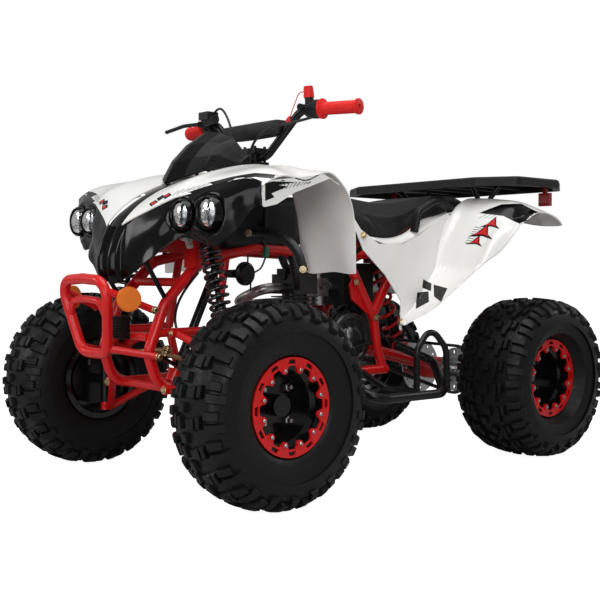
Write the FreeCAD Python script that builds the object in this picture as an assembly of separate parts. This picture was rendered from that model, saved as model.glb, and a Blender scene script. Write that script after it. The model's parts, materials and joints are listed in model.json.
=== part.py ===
"""A sport quad bike of the 125 cc class, on steel wheels with knobbly balloon tyres.

Frame of the model, in millimetres: the origin is on the floor, at the middle of the wheelbase.
+Z is up, the bike faces -Y, and +X is the rider's left.
"""

import FreeCAD
import Part
import math
import os

V = FreeCAD.Vector
X_AXIS = V(1, 0, 0)
Y_AXIS = V(0, 1, 0)
Z_AXIS = V(0, 0, 1)
ORIGIN = V(0, 0, 0)

# Driving dimensions of the whole bike
wheelbase = 1050.0
front_axle_y = -wheelbase / 2
rear_axle_y = wheelbase / 2
front_wheel_x = 412.0
rear_wheel_x = 366.0
front_tyre_radius = 245.0
rear_tyre_radius = 236.0
front_tyre_width = 180.0
rear_tyre_width = 226.0
running_gap = 0.3

# Wheels: an 8 inch rim
rim_seat_radius = 101.6
rim_flange_radius = 112.0
rim_wall = 4.0
front_rim_half = 69.0
rear_rim_half = 68.0
dish_depth_front = 62.0
dish_depth_rear = 88.0
wheel_bore_radius = 26.0
stud_circle = 55.0
stud_hole_radius = 5.5
stud_count = 4
bead_inset = 7.5

# Tread: lugs in three rows, whose steps go round in equal pitches
lug_height = 10.0
tread_pitches = 16
hollow_flats = 10
tread_shoulder = 34.0
lug_taper = 6.0

# Red bead ring on each wheel
ring_lobes = 12
ring_outer_radius = 114.0
ring_band_radius = 95.0
ring_boss_circle = 87.0
ring_boss_radius = 8.5
ring_thickness = 5.0
ring_bolt_radius = 3.5

# Steering
stem_top = V(0, -232, 850)
stem_foot = V(0, -500, 300)
steer_axis = (stem_top - stem_foot).normalize()
stem_radius = 12.0
kingpin_x = 318.0
steering_arm = 50.0
arm_height = 52.0
arm_thickness = 12.0
pitman_thickness = 7.0
tie_drop = 9.0
tie_pin_radius = 5.0
tie_eye_height = 12.0
tie_washer = 2.5
tie_rod_radius = 6.0
tie_eye_outer = 13.0
open_pivot_gap = 2.0
bar_radius = 11.0
grip_radius = 16.0
perch_x = 213.0
switch_x = 231.0

# Dampers
shock_eye_half = 12.0
seat_top_reach = 28.0
seat_foot_reach = 44.0
front_shock_top = V(168, front_axle_y, 640)
front_shock_foot = V(246, front_axle_y, 369)
front_coil_radius = 22.0
front_wire_radius = 4.0
front_coils = 8.5
rear_shock_top = V(0, 215, 588)
rear_shock_foot_y = 345.0
rear_shock_lift = 33.0
rear_coil_radius = 26.0
rear_wire_radius = 5.5
rear_coils = 7.0
wire_flats = 6
flats_per_coil = 14

# Frame tubes
main_tube = 14.0
thin_tube = 11.0
frame_half = 105.0
rail_z = 262.0
upper_bush_z = 400.0
swing_pivot = V(0, 135, 330)
swing_slope = (rear_tyre_radius - swing_pivot.z) / (rear_axle_y - swing_pivot.y)
swing_deck_z = swing_pivot.z + swing_slope * (rear_shock_foot_y - swing_pivot.y)
rear_shock_foot = V(0, rear_shock_foot_y, swing_deck_z + rear_shock_lift)

# Foot guards: the gap from their back bend to the rear tyre
guard_gap = 27.0
peg_teeth = 7

# Front bumper
strut_radius = 9.0

# Engine
cover_x = 96.0
cover_face = 21.0
cover_ribs = 9
regulator_fins = 9

# Drive: a half inch pitch chain on the left
chain_x = 70.0
chain_pitch = 12.7
chain_half_height = 5.9
chain_waist = 4.2
chain_width = 15.0
chain_flats = 6
drive_teeth = 14
rear_teeth = 37
sprocket_windows = 8
drive_centre = V(chain_x, 72, 336)

# Rear axle
axle_radius = 15.0
rear_disc_x = rear_wheel_x + rear_rim_half - dish_depth_rear
brake_disc_x = -76.0
brake_disc_radius = 86.0
disc_holes = 12
hub_radius = 24.0

# Lamps of one side, the outer one first: x, y of the glass, z, radius and bezel radius
lamps = ((298, -610, 687, 34, 45), (215, -627, 685, 31, 34.5))
lamp_depth = 44.0
bezel_depth = 14.0
lamp_wall = 4.0

# Rear carrier
rack_top = 832.0
rack_depth = 26.0
rack_skin = 6.0
rack_half = 360.0
rack_end = 790.0
rack_slots = 5
rack_slot_pitch = 95.0

# Grab handles
handle_half = 13.0

# Body panels
panel_wall = 3.0
mask_wall = 4.0
fender_edge_x = 415.0
grille_slots = 6
grille_pitch = 13.0


def save(name, shape):
    """Write one sub-part."""
    os.makedirs("parts", exist_ok=True)
    shape.exportStep("parts/%s.step" % name)


def mirrored(shape):
    """The same piece on the other side of the bike."""
    return shape.mirror(ORIGIN, X_AXIS)


def both_sides(shape):
    """A piece and its mirror image, as one compound."""
    return Part.makeCompound([shape, mirrored(shape)])


def fused(shapes):
    """One solid from pieces that meet."""
    whole = shapes[0]
    for shape in shapes[1:]:
        whole = whole.fuse(shape)
    return whole


def rod(start, end, radius):
    """A round bar between two points."""
    run = end - start
    return Part.makeCylinder(radius, run.Length, start, run)


def box(low, high):
    """A block between two corners."""
    size = high - low
    return Part.makeBox(size.x, size.y, size.z, low)


def corner_arc(before, corner, after, bend):
    """The tangent arc that rounds a corner: its start, its edge and its end."""
    back = (before - corner).normalize()
    on = (after - corner).normalize()
    half = back.getAngle(on) / 2
    longest = 0.45 * min((before - corner).Length, (after - corner).Length)
    reach = min(bend / math.tan(half), longest)
    radius = reach * math.tan(half)
    start = corner + back * reach
    end = corner + on * reach
    middle = corner + (back + on).normalize() * (radius / math.sin(half) - radius)
    return start, Part.Arc(start, middle, end).toShape(), end


def bent_path(points, bend):
    """Straight runs joined by tangent arcs of the bend radius."""
    edges = []
    start = points[0]
    for before, corner, after in zip(points, points[1:], points[2:]):
        arc_start, arc, arc_end = corner_arc(before, corner, after, bend)
        edges.append(Part.LineSegment(start, arc_start).toShape())
        edges.append(arc)
        start = arc_end
    edges.append(Part.LineSegment(start, points[-1]).toShape())
    return Part.Wire(edges)


def rounded(points, radius):
    """A closed outline of straight runs whose corners are arcs."""
    corners = [corner_arc(points[k - 1], points[k], points[(k + 1) % len(points)], radius)
               for k in range(len(points))]
    edges = []
    for (start, arc, end), following in zip(corners, corners[1:] + corners[:1]):
        edges.append(arc)
        edges.append(Part.LineSegment(end, following[0]).toShape())
    return Part.Wire(edges)


def bent_tube(points, radius, bend):
    """A round tube along straight runs joined by tangent arcs of the bend radius."""
    section = Part.Wire([Part.makeCircle(radius, points[0], points[1] - points[0])])
    return bent_path(points, bend).makePipeShell([section], True, False)


def bent_strip(points, across, thickness, bend):
    """A flat moulded bar bent along a path; across is half its width, as a vector."""
    start = points[0]
    up = across.cross(points[1] - start).normalize() * (thickness / 2)
    section = rounded([start + across + up, start - across + up, start - across - up,
                       start + across - up], thickness * 0.4)
    return bent_path(points, bend).makePipeShell([section], True, False)


def flat(points):
    """The flat face inside a closed line of points."""
    return Part.Face(Part.makePolygon(points + [points[0]]))


def turned_about_x(profile, centre):
    """A solid turned about an axis along X, from a closed outline of (x, radius) points."""
    points = [V(centre.x + x, centre.y, centre.z + r) for x, r in profile]
    face = Part.Face(Part.makePolygon(points + [points[0]]))
    return face.revolve(centre, X_AXIS, 360)


def closed_solid(faces):
    """A solid from the flat faces that close it."""
    skin = Part.makeShell(faces)
    skin.sewShape()
    solid = Part.makeSolid(skin)
    if solid.Volume < 0:
        solid.reverse()
    return solid


def plate_x(outline, x, thickness, corner=0):
    """A flat plate square to X, from an outline of (y, z) points, its corners rounded or not."""
    points = [V(x, y, z) for y, z in outline]
    face = Part.Face(rounded(points, corner)) if corner else flat(points)
    return face.extrude(V(thickness, 0, 0))


# Wheels


def wheel_point(centre, x, radius, turn):
    """A point of a wheel, from its offset, its radius and its turn from the lowest place."""
    return V(centre.x + x, centre.y + radius * math.sin(turn), centre.z - radius * math.cos(turn))


def flats_round(centre, line, turns):
    """Flat faces round a wheel: from each turn to the next, one for each run of the line."""
    faces = []
    for start, end in zip(turns, turns[1:]):
        for (x0, r0), (x1, r1) in zip(line, line[1:]):
            faces.append(flat([wheel_point(centre, x0, r0, start), wheel_point(centre, x1, r1, start),
                               wheel_point(centre, x1, r1, end), wheel_point(centre, x0, r0, end)]))
    return faces


def tyre(centre, radius, width, rim_half):
    """A hollow balloon tyre in flats, open at the rim, with three staggered rows of lugs."""
    half = width / 2
    base = radius - lug_height
    steps = 2 * tread_pitches
    pitch = 2 * math.pi / steps
    bead = (rim_seat_radius + running_gap) / math.cos(pitch / 2)
    side = bead + (radius - bead) * 0.52
    toe = rim_half - 20
    wall = [(toe, bead), (rim_half - bead_inset, bead), (rim_half - bead_inset, rim_flange_radius + 1),
            (half - 2, side)]
    low = (half - 7, base - 30)
    edge = (half - tread_shoulder, base)
    shoulder_lug = [low, (half, base - 22), (half - 22, radius - 3), edge]
    crown = half - tread_shoulder - lug_taper
    centre_lug = [edge, (crown, radius), (-crown, radius), (-edge[0], base)]

    def other(line):
        return [(-x, r) for x, r in reversed(line)]

    shoulder_skin = wall + shoulder_lug + other(shoulder_lug) + other(wall)
    centre_skin = wall + [low] + centre_lug + [(-low[0], low[1])] + other(wall)
    faces = []
    for k in range(steps):
        skin = centre_skin if k % 2 else shoulder_skin
        faces += flats_round(centre, skin, (k * pitch, (k + 1) * pitch))
        for lug in (shoulder_lug, centre_lug, other(shoulder_lug)):
            faces.append(flat([wheel_point(centre, x, r, k * pitch) for x, r in lug]))
    turns = [2 * math.pi * k / hollow_flats for k in range(hollow_flats + 1)]
    lip = (bead + 12) / math.cos(math.pi / hollow_flats)
    hollow = [(toe, lip), (half - 16, side), (half - 44, base - 14)]
    faces += flats_round(centre, hollow + other(hollow), turns)
    for x in (-toe, toe):
        outer = [wheel_point(centre, x, lip, turn) for turn in turns]
        inner = [wheel_point(centre, x, bead, k * pitch) for k in range(steps + 1)]
        wires = [Part.makePolygon(outer), Part.makePolygon(inner)]
        faces.append(Part.makeFace(wires, "Part::FaceMakerBullseye"))
    return closed_solid(faces)


def wheel_rim(centre, half, dish_depth, outward):
    """A pressed steel rim: barrel, two flanges and a dished centre with a bore and stud holes."""
    seat = rim_seat_radius
    well = seat - 12
    lip = rim_flange_radius
    outer_disc = half - dish_depth
    profile = [
        (half, lip), (half - 5, lip), (half - 7, seat), (half - 24, seat), (half - 30, well),
        (-half + 30, well), (-half + 24, seat), (-half + 7, seat), (-half + 5, lip), (-half, lip),
        (-half, seat - rim_wall), (-half + 26, seat - rim_wall), (-half + 32, well - rim_wall),
        (outer_disc - 6, well - rim_wall), (outer_disc - 6, wheel_bore_radius),
        (outer_disc, wheel_bore_radius), (outer_disc, well - rim_wall),
        (half - 32, well - rim_wall), (half - 26, seat - rim_wall), (half, seat - rim_wall),
    ]
    profile = [(outward * x, r) for x, r in profile]
    rim = turned_about_x(profile, centre)
    disc_x = centre.x + outward * (outer_disc - 3)
    for k in range(stud_count):
        angle = 2 * math.pi * (k + 0.5) / stud_count
        at = V(disc_x - 10, centre.y + stud_circle * math.cos(angle),
               centre.z + stud_circle * math.sin(angle))
        rim = rim.cut(Part.makeCylinder(stud_hole_radius, 20, at, X_AXIS))
    return rim


def bead_ring(centre, half, outward):
    """The red reinforcing ring: a band with windows and with bolted lobes that point inward."""
    face_x = centre.x + outward * (half + running_gap)
    thickness = outward * ring_thickness
    pitch = 2 * math.pi / ring_lobes

    def at(radius, turn):
        return wheel_point(V(face_x, centre.y, centre.z), 0, radius, turn)

    middle = V(face_x, centre.y, centre.z)
    face = Part.Face(Part.Wire([Part.makeCircle(ring_outer_radius, middle, X_AXIS)]))
    face = face.cut(Part.Face(Part.Wire([Part.makeCircle(ring_band_radius, middle, X_AXIS)])))
    band = face.extrude(V(thickness, 0, 0))
    lobes = []
    cutters = []
    for k in range(ring_lobes):
        a = (k + 0.5) * pitch
        root = math.asin(1.9 * ring_boss_radius / ring_band_radius)
        tip = math.asin(ring_boss_radius / ring_boss_circle)
        lobe = flat([at(ring_band_radius + 2, a - root), at(ring_boss_circle, a - tip),
                     at(ring_boss_circle, a + tip), at(ring_band_radius + 2, a + root)])
        lobes.append(lobe.extrude(V(thickness, 0, 0)))
        boss = Part.Wire([Part.makeCircle(ring_boss_radius, at(ring_boss_circle, a), X_AXIS)])
        lobes.append(Part.Face(boss).extrude(V(thickness * 1.3, 0, 0)))
        bolt = at(ring_boss_circle, a) - V(20, 0, 0)
        cutters.append(Part.makeCylinder(ring_bolt_radius, 40, bolt, X_AXIS))
        b = k * pitch
        window = flat([at(ring_band_radius + 5, b - 0.12), at(ring_outer_radius - 5, b - 0.075),
                       at(ring_outer_radius - 5, b + 0.075), at(ring_band_radius + 5, b + 0.12)])
        window.translate(V(-20, 0, 0))
        cutters.append(window.extrude(V(40, 0, 0)))
    return fused([band] + lobes).cut(Part.makeCompound(cutters))


front_centre = V(front_wheel_x, front_axle_y, front_tyre_radius)
rear_centre = V(rear_wheel_x, rear_axle_y, rear_tyre_radius)


def front_hub():
    """The hub with its drum, studs and cap, which turns on the spindle."""
    disc_x = front_wheel_x + front_rim_half - dish_depth_front
    flange = Part.makeCylinder(66, 8, V(disc_x - 14.3, front_axle_y, front_tyre_radius), X_AXIS)
    drum = Part.makeCylinder(70, 22, V(disc_x - 36.3, front_axle_y, front_tyre_radius), X_AXIS)
    nose = Part.makeCylinder(wheel_bore_radius - 1, 40,
                             V(disc_x - 8, front_axle_y, front_tyre_radius), X_AXIS)
    pieces = [flange, drum, nose]
    for k in range(stud_count):
        angle = 2 * math.pi * (k + 0.5) / stud_count
        at = V(disc_x - 8, front_axle_y + stud_circle * math.cos(angle),
               front_tyre_radius + stud_circle * math.sin(angle))
        pieces.append(Part.makeCylinder(stud_hole_radius - 0.5, 16, at, X_AXIS))
        pieces.append(Part.makeCylinder(8.5, 7, at + V(8.3, 0, 0), X_AXIS))
    bore = Part.makeCylinder(14 + running_gap, 50,
                             V(disc_x - 40, front_axle_y, front_tyre_radius), X_AXIS)
    return fused(pieces).cut(bore)


def knuckle():
    """The steering knuckle: kingpin post, spindle, brake backing plate and steering arm."""
    z = front_tyre_radius
    disc_x = front_wheel_x + front_rim_half - dish_depth_front
    post = rod(V(kingpin_x, front_axle_y, z - 62), V(kingpin_x, front_axle_y, z + 66), 15)
    spindle = rod(V(kingpin_x, front_axle_y, z), V(disc_x - 2, front_axle_y, z), 14)
    plate = Part.makeCylinder(72, 5, V(disc_x - 36.3 - 5.5, front_axle_y, z), X_AXIS)
    arm_z = z + arm_height
    half = arm_thickness / 2
    tip = V(kingpin_x, front_axle_y - steering_arm, arm_z)
    arm = box(V(kingpin_x - 9, front_axle_y - steering_arm, arm_z - half),
              V(kingpin_x + 9, front_axle_y, arm_z + half))
    eye = Part.makeCylinder(10, arm_thickness, tip - V(0, 0, half), Z_AXIS)
    stud = Part.makeCylinder(tie_pin_radius, half + tie_drop + tie_eye_height + 4, tip, Z_AXIS)
    return fused([post, spindle, plate, arm, eye, stud])


def tie_rod(side):
    """A tie rod, from the pitman pin on the stem to the stud on its steering arm."""
    inner, outer = tie_rod_ends(side)
    run = (outer - inner).normalize()
    shank = rod(inner + run * (tie_eye_outer - 2), outer - run * (tie_eye_outer - 2),
                tie_rod_radius)
    half = tie_eye_height / 2
    inner_eye = Part.makeCylinder(tie_eye_outer, tie_eye_height, inner - steer_axis * half,
                                  steer_axis)
    outer_eye = Part.makeCylinder(tie_eye_outer, tie_eye_height, outer - V(0, 0, half), Z_AXIS)
    body = fused([shank, inner_eye, outer_eye])
    inner_bore = Part.makeCylinder(tie_pin_radius + running_gap, 40, inner - steer_axis * 20,
                                   steer_axis)
    outer_bore = Part.makeCylinder(tie_pin_radius + open_pivot_gap, 40, outer - V(0, 0, 20),
                                   Z_AXIS)
    return body.cut(inner_bore).cut(outer_bore)


def pitman_forward():
    """Direction in which the pitman arm points, square to the stem."""
    return V(0, -steer_axis.z, steer_axis.y)


def tie_rod_ends(side):
    """Centres of a tie rod's two eyes; the right one's inner eye lies on the left one's."""
    rise = pitman_thickness + tie_washer + tie_eye_height / 2
    if side < 0:
        rise = rise + tie_eye_height + tie_washer
    inner = stem_foot + pitman_forward() * steering_arm + steer_axis * rise
    outer = V(side * kingpin_x, front_axle_y - steering_arm,
              front_tyre_radius + arm_height + arm_thickness / 2 + tie_drop + tie_eye_height / 2)
    return inner, outer


# Front suspension


def a_arm(outer_z, inner_z, front_y, back_y):
    """One welded wishbone, from two bushes on the frame to the ball joint at the kingpin."""
    ball = V(kingpin_x, front_axle_y, outer_z)
    throat = V(kingpin_x - 24, front_axle_y, outer_z)
    bush_x = frame_half + 26
    pieces = [Part.makeCylinder(14, 22, ball - V(0, 0, 11), Z_AXIS)]
    for y in (front_y, back_y):
        bush = V(bush_x, y, inner_z)
        pieces.append(rod(bush - V(0, 17, 0), bush + V(0, 17, 0), 12))
        pieces.append(rod(bush, throat, 10))
    pieces.append(rod(throat, ball, 11))
    return fused(pieces)


def front_arms():
    """The two wishbones of the left side; the upper one carries the damper's lower mount."""
    z = front_tyre_radius
    upper_z = z + 66 + 11 + running_gap
    upper = a_arm(upper_z, upper_bush_z, front_axle_y - 70, front_axle_y + 60)
    lower = a_arm(z - 62 - 11 - running_gap, rail_z, front_axle_y - 90, front_axle_y + 70)
    foot = front_shock_foot
    cross = rod(V(foot.x - 12, foot.y - 30, foot.z - 24), V(foot.x - 12, foot.y + 30, foot.z - 24), 8)
    pieces = [upper, cross]
    for side in (-1, 1):
        y = foot.y + side * (shock_eye_half + running_gap)
        pieces.append(box(V(foot.x - 18, min(y, y + side * 6), foot.z - 28),
                          V(foot.x + 12, max(y, y + side * 6), foot.z + 10)))
    return Part.makeCompound([fused(pieces), lower])


def damper(top, bottom, coil_radius, pin_axis):
    """A damper body with its two eyes, rod and spring seats."""
    run = bottom - top
    along = V(run).normalize()
    eye = pin_axis * shock_eye_half
    pieces = [
        rod(top - eye, top + eye, 13),
        rod(bottom - eye, bottom + eye, 13),
        rod(top, bottom - along * 40, 7),
        rod(bottom - along * seat_foot_reach, bottom, 9),
        rod(top + along * (run.Length * 0.62), bottom - along * 38, coil_radius - 8),
        rod(top + along * (seat_top_reach - 6), top + along * seat_top_reach, coil_radius + 6),
        rod(bottom - along * seat_foot_reach, bottom - along * 38, coil_radius + 6),
    ]
    return fused(pieces)


def spring(top, bottom, coil_radius, wire_radius, coils):
    """The coil spring between the two seats of a damper: a wire in flats along a helix."""
    run = bottom - top
    along = V(run).normalize()
    across = along.cross(Y_AXIS if abs(along.y) < 0.5 else X_AXIS).normalize()
    third = along.cross(across)
    end_gap = running_gap + wire_radius
    start = top + along * (seat_top_reach + end_gap)
    height = run.Length - seat_top_reach - seat_foot_reach - 2 * end_gap
    steps = round(coils * flats_per_coil)
    rings = []
    for k in range(steps + 1):
        turn = 2 * math.pi * k / flats_per_coil
        outward = across * math.cos(turn) + third * math.sin(turn)
        middle = start + along * (height * k / steps) + outward * coil_radius
        ring = []
        for j in range(wire_flats):
            angle = 2 * math.pi * (j + 0.5) / wire_flats
            ring.append(middle + outward * (wire_radius * math.cos(angle))
                        + along * (wire_radius * math.sin(angle)))
        rings.append(ring)
    faces = [flat(rings[0]), flat(rings[-1])]
    for ring, following in zip(rings, rings[1:]):
        for j in range(wire_flats):
            a, b = ring[j - 1], ring[j]
            c, d = following[j], following[j - 1]
            faces.append(flat([a, b, c]))
            faces.append(flat([a, c, d]))
    return closed_solid(faces)


# Steering column and handlebar


def handlebar():
    """The bent bar with its cross brace, and the riser clamp at the top of the stem."""
    points = [V(362, -196, 968), V(185, -232, 975), V(52, -240, 862), V(-52, -240, 862),
              V(-185, -232, 975), V(-362, -196, 968)]
    bar = bent_tube(points, bar_radius, 55)
    brace = rod(V(-136, -238, 934), V(136, -238, 934), 8)
    return fused([bar, brace])


def steering_stem():
    """The stem tube with its clamp on top, pitman arm and two tie rod pins at the foot."""
    tube = rod(stem_foot, stem_top - steer_axis * 18, stem_radius)
    clamp = box(V(-30, -266, 824), V(30, -214, 851 - running_gap))
    cap = box(V(-30, -266, 862 + bar_radius + running_gap), V(30, -214, 888))
    bolts = [rod(V(x, y, 830), V(x, y, 894), 4) for x in (-22, 22) for y in (-257, -223)]
    forward = pitman_forward()
    tip = stem_foot + forward * steering_arm
    base = stem_foot
    side = V(9, 0, 0)
    outline = [base + V(14, 0, 0), base - V(14, 0, 0), tip - side, tip + forward * 9 - side,
               tip + forward * 9 + side, tip + side]
    arm = Part.Face(Part.makePolygon(outline + [outline[0]]))
    arm = arm.extrude(steer_axis * pitman_thickness)
    pin_length = pitman_thickness + 2 * (tie_eye_height + tie_washer) + 4
    pin = rod(tip, tip + steer_axis * pin_length, tie_pin_radius)
    return fused([tube, clamp, cap, arm, pin] + bolts)


def grip(side):
    """A ribbed rubber grip with flanges at both ends."""
    start = V(side * 250, -218.8, 972.4)
    end = V(side * 366, -195.2, 967.8)
    run = (end - start).normalize()
    core = rod(start, end, grip_radius)
    inner_flange = rod(start, start + run * 8, grip_radius + 6)
    outer_flange = rod(end - run * 7, end, grip_radius + 4)
    grip_solid = fused([core, inner_flange, outer_flange])
    bore = rod(start - run * 5, end - run * 4, bar_radius + running_gap)
    return grip_solid.cut(bore)


# Frame


def side_frame():
    """The left side of the frame: one long loop, the pivot upright and the V behind the engine."""
    x = frame_half
    loop = bent_tube([V(x, 172, rail_z), V(x, -628, rail_z), V(x, -660, 352), V(x, -612, 470),
                      V(x, -505, 577), V(x, -330, 612), V(x, 30, 596), V(x, 250, 612),
                      V(x, 590, 718)], main_tube, 60)
    brace = bent_tube([V(x, -641, upper_bush_z), V(x, -455, upper_bush_z), V(x, -420, rail_z)],
                      thin_tube, 30)
    strut = rod(V(x, -455, upper_bush_z), V(x, -420, 594), thin_tube)
    front_leg = rod(V(x, 6, 596), V(x, 118, 415), main_tube)
    rear_leg = rod(V(x, 118, 428), V(x, 240, 612), main_tube)
    pivot_leg = bent_tube([V(x, 118, 428), V(x, 132, 330), V(x, 160, rail_z)], main_tube, 60)
    gusset = plate_x([(40, 540), (118, 415), (96, 425), (30, 470), (22, 510)], x - 3, 6)
    tail = rod(V(x, 520, 697), V(x, 215, 575), thin_tube)
    return fused([loop, brace, strut, front_leg, rear_leg, pivot_leg, gusset, tail])


def frame_crossbars():
    """What joins the two sides: tubes, the stem's upper and lower bearings and shock tower."""
    inner = frame_half - 2
    bars = []
    for y, z in ((-600, rail_z), (-150, rail_z), (96, rail_z), (-655, upper_bush_z - 10),
                 (-560, 524), (120, 603), (230, 612), (450, 674), (575, 713)):
        bars.append(rod(V(-inner, y, z), V(inner, y, z), thin_tube))
    for y, z, top in ((120, 603, 662), (450, 674, 752)):
        bars.append(box(V(-50, y - 12, z), V(50, y + 12, top)))
    ear_x = shock_eye_half + running_gap
    for side in (-1, 1):
        bars.append(box(V(min(side * ear_x, side * (ear_x + 6)), 200, 575),
                        V(max(side * ear_x, side * (ear_x + 6)), 230, 612)))
    return bars


def head_bearing():
    """Upper stem bearing: a split block on a cross tube."""
    share = (612 - stem_foot.z) / (stem_top.z - stem_foot.z)
    at = stem_foot + (stem_top - stem_foot) * share
    block = rod(at - steer_axis * 16, at + steer_axis * 16, 24)
    arm = rod(V(-frame_half, at.y - 6, at.z), V(frame_half, at.y - 6, at.z), 12)
    hole = rod(at - steer_axis * 60, at + steer_axis * 60, stem_radius + running_gap)
    return fused([block, arm]).cut(hole)


def foot_bearing():
    """Lower stem bearing: a cup on a plate between the lower rails."""
    low = stem_foot - steer_axis * 8
    cup = rod(low - steer_axis * 34, low - steer_axis * running_gap, 22)
    plate = box(V(-frame_half, low.y - 40, rail_z - 5), V(frame_half, low.y + 30, rail_z + 5))
    return fused([cup, plate])


def shock_tower():
    """The bracket on each side that carries the front damper's upper eye."""
    top = front_shock_top
    pieces = []
    for side in (-1, 1):
        block = box(V(min(side * 92, side * 138), top.y - 18, 560),
                    V(max(side * 92, side * 138), top.y + 18, 654))
        ears = [block]
        for hand in (-1, 1):
            y = top.y + hand * (shock_eye_half + running_gap)
            ears.append(box(V(min(side * 130, side * (top.x + 15)), min(y, y + hand * 5), 631),
                            V(max(side * 130, side * (top.x + 15)), max(y, y + hand * 5), 654)))
        pieces.append(fused(ears))
    bridge = box(V(-94, top.y - 6, 600), V(94, top.y + 6, 640))
    return fused(pieces + [bridge])


def crossings(left_side):
    """All the cross pieces, cut back to the two sides."""
    sides = both_sides(left_side)
    whole = fused(frame_crossbars() + [head_bearing(), foot_bearing(), shock_tower()])
    return whole.cut(sides)


# Engine and drive


def pitch_radius(teeth):
    """Pitch radius of a sprocket for the chain."""
    return chain_pitch / (2 * math.sin(math.pi / teeth))


def belt_arcs(near, near_radius, far, far_radius):
    """The two arcs of a belt line: centre, radius, middle angle and half sweep of each."""
    run = far - near
    heading = math.atan2(run.z, run.y)
    lean = math.acos((near_radius - far_radius) / run.Length)
    return ((near, near_radius, heading + math.pi, math.pi - lean),
            (far, far_radius, heading, lean))


def belt_point(arc, share, beyond=0.0):
    """A point of a belt's arc at a share of its half sweep, on its radius or beyond it."""
    centre, radius, middle, sweep = arc
    angle = middle + share * sweep
    reach = radius + beyond
    return V(centre.x, centre.y + reach * math.cos(angle), centre.z + reach * math.sin(angle))


def chain():
    """The drive chain round its two sprockets, with a swell at each pin and a waist between."""
    start = V(-chain_width / 2, 0, 0)
    rear = V(chain_x, rear_axle_y, rear_tyre_radius)
    arcs = belt_arcs(drive_centre, pitch_radius(drive_teeth), rear, pitch_radius(rear_teeth))
    edges = []
    for arc, other_arc in (arcs, arcs[::-1]):
        edges.append(Part.Arc(*[belt_point(arc, share) for share in (-1, 0, 1)]).toShape())
        edges.append(Part.LineSegment(belt_point(arc, 1), belt_point(other_arc, -1)).toShape())
    line = Part.Wire(edges)
    links = round(line.Length / chain_pitch)
    points = line.discretize(Number=2 * links + 1)[:-1]
    outline = []
    for k, point in enumerate(points):
        tangent = points[(k + 1) % len(points)] - points[k - 1]
        reach = chain_waist if k % 2 else chain_half_height
        outline.append(point + tangent.cross(X_AXIS).normalize() * reach + start)
    inside = []
    for arc in arcs:
        step = arc[3] / chain_flats
        beyond = (arc[1] - chain_half_height) / math.cos(step) - arc[1]
        for k in range(chain_flats):
            inside.append(belt_point(arc, (2 * k + 1) / chain_flats - 1, beyond) + start)
    band = flat(outline).cut(flat(inside))
    return band.extrude(V(chain_width, 0, 0))


def sprocket(centre, teeth, thickness, bore):
    """A sprocket disc with round windows; its teeth end just inside the chain's rollers."""
    outer = pitch_radius(teeth) - chain_half_height - running_gap
    at = V(chain_x - thickness / 2, centre.y, centre.z)
    disc = Part.makeCylinder(outer, thickness, at, X_AXIS)
    cutters = [Part.makeCylinder(bore, thickness * 3, at - V(thickness, 0, 0), X_AXIS)]
    for k in range(sprocket_windows):
        place = wheel_point(at - V(thickness, 0, 0), 0, outer - 13, 2 * math.pi * k / sprocket_windows)
        cutters.append(Part.makeCylinder(6.5, thickness * 3, place, X_AXIS))
    return disc.cut(Part.makeCompound(cutters))


def crankcase():
    """Engine lower half, between the frame rails, with its mounting lugs."""
    block = box(V(-84, -150, 284), V(52, 62, 402))
    front_lug = box(V(-36, -164, rail_z + 4), V(36, -136, rail_z + 38))
    rear_lug = box(V(-36, 82, rail_z + 4), V(36, 104, rail_z + 80))
    front = Part.makeCylinder(58, 120, V(-70, -98, 342), X_AXIS)
    rear = Part.makeCylinder(50, 110, V(-62, 62, 342), X_AXIS)
    return fused([block, front, rear, front_lug, rear_lug])


def engine_covers():
    """The round side covers: magneto on the left with a ribbed face, clutch on the right."""
    middle = V(cover_x, 18, 357)
    left = turned_about_x([(0, 0), (0, 76), (20, 76), (25, 71), (25, 60), (cover_face, 56),
                           (cover_face, 40), (28, 34), (30, 28), (30, 0)], middle)
    ribs = []
    for k in range(cover_ribs):
        rib = plate_x([(38, -2), (64, -2), (64, 2), (38, 2)], middle.x + 12, 12)
        rib.translate(V(0, middle.y, middle.z))
        rib.rotate(middle, X_AXIS, 360 * k / cover_ribs)
        ribs.append(rib)
    left_back = Part.makeCylinder(54, 44, V(52 + running_gap, -20, 350), X_AXIS)
    left_web = box(V(90, -70, 310), V(100, 10, 390))
    right = turned_about_x([(0, 0), (0, 70), (-28, 70), (-36, 62), (-36, 44), (-31, 40), (-31, 0)],
                           V(-84 - running_gap, -20, 354))
    return Part.makeCompound([fused([left, left_back, left_web] + ribs), right])


def cylinder_and_head():
    """The finned barrel, the head and its two round valve caps."""
    top = 402 + running_gap
    middle = V(0, -95, 0)
    pieces = [Part.makeCylinder(36, 96, V(0, -95, top), Z_AXIS)]
    for k in range(7):
        z = top + 8 + k * 11
        pieces.append(box(V(-50, middle.y - 46, z), V(50, middle.y + 46, z + 4)))
    head = box(V(-48, middle.y - 44, top + 84), V(48, middle.y + 44, top + 140))
    cover = box(V(-38, middle.y - 34, top + 140), V(38, middle.y + 34, top + 156))
    intake_cap = rod(V(0, middle.y + 20, top + 141), V(0, middle.y + 50, top + 143), 17)
    exhaust_cap = rod(V(0, middle.y - 20, top + 141), V(0, middle.y - 50, top + 139), 17)
    return fused(pieces + [head, cover, intake_cap, exhaust_cap])


def intake():
    """Carburettor with its float bowl, between the head and the air box."""
    start = V(0, -95 + 44 + running_gap, 504)
    throat = rod(start, V(0, 38, 504), 16)
    body = box(V(-24, -28, 478), V(24, 16, 530))
    bowl = Part.makeCylinder(22, 26, V(0, -8, 452), Z_AXIS)
    slide = Part.makeCylinder(16, 26, V(0, -8, 530), Z_AXIS)
    return fused([throat, body, bowl, slide])


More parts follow.
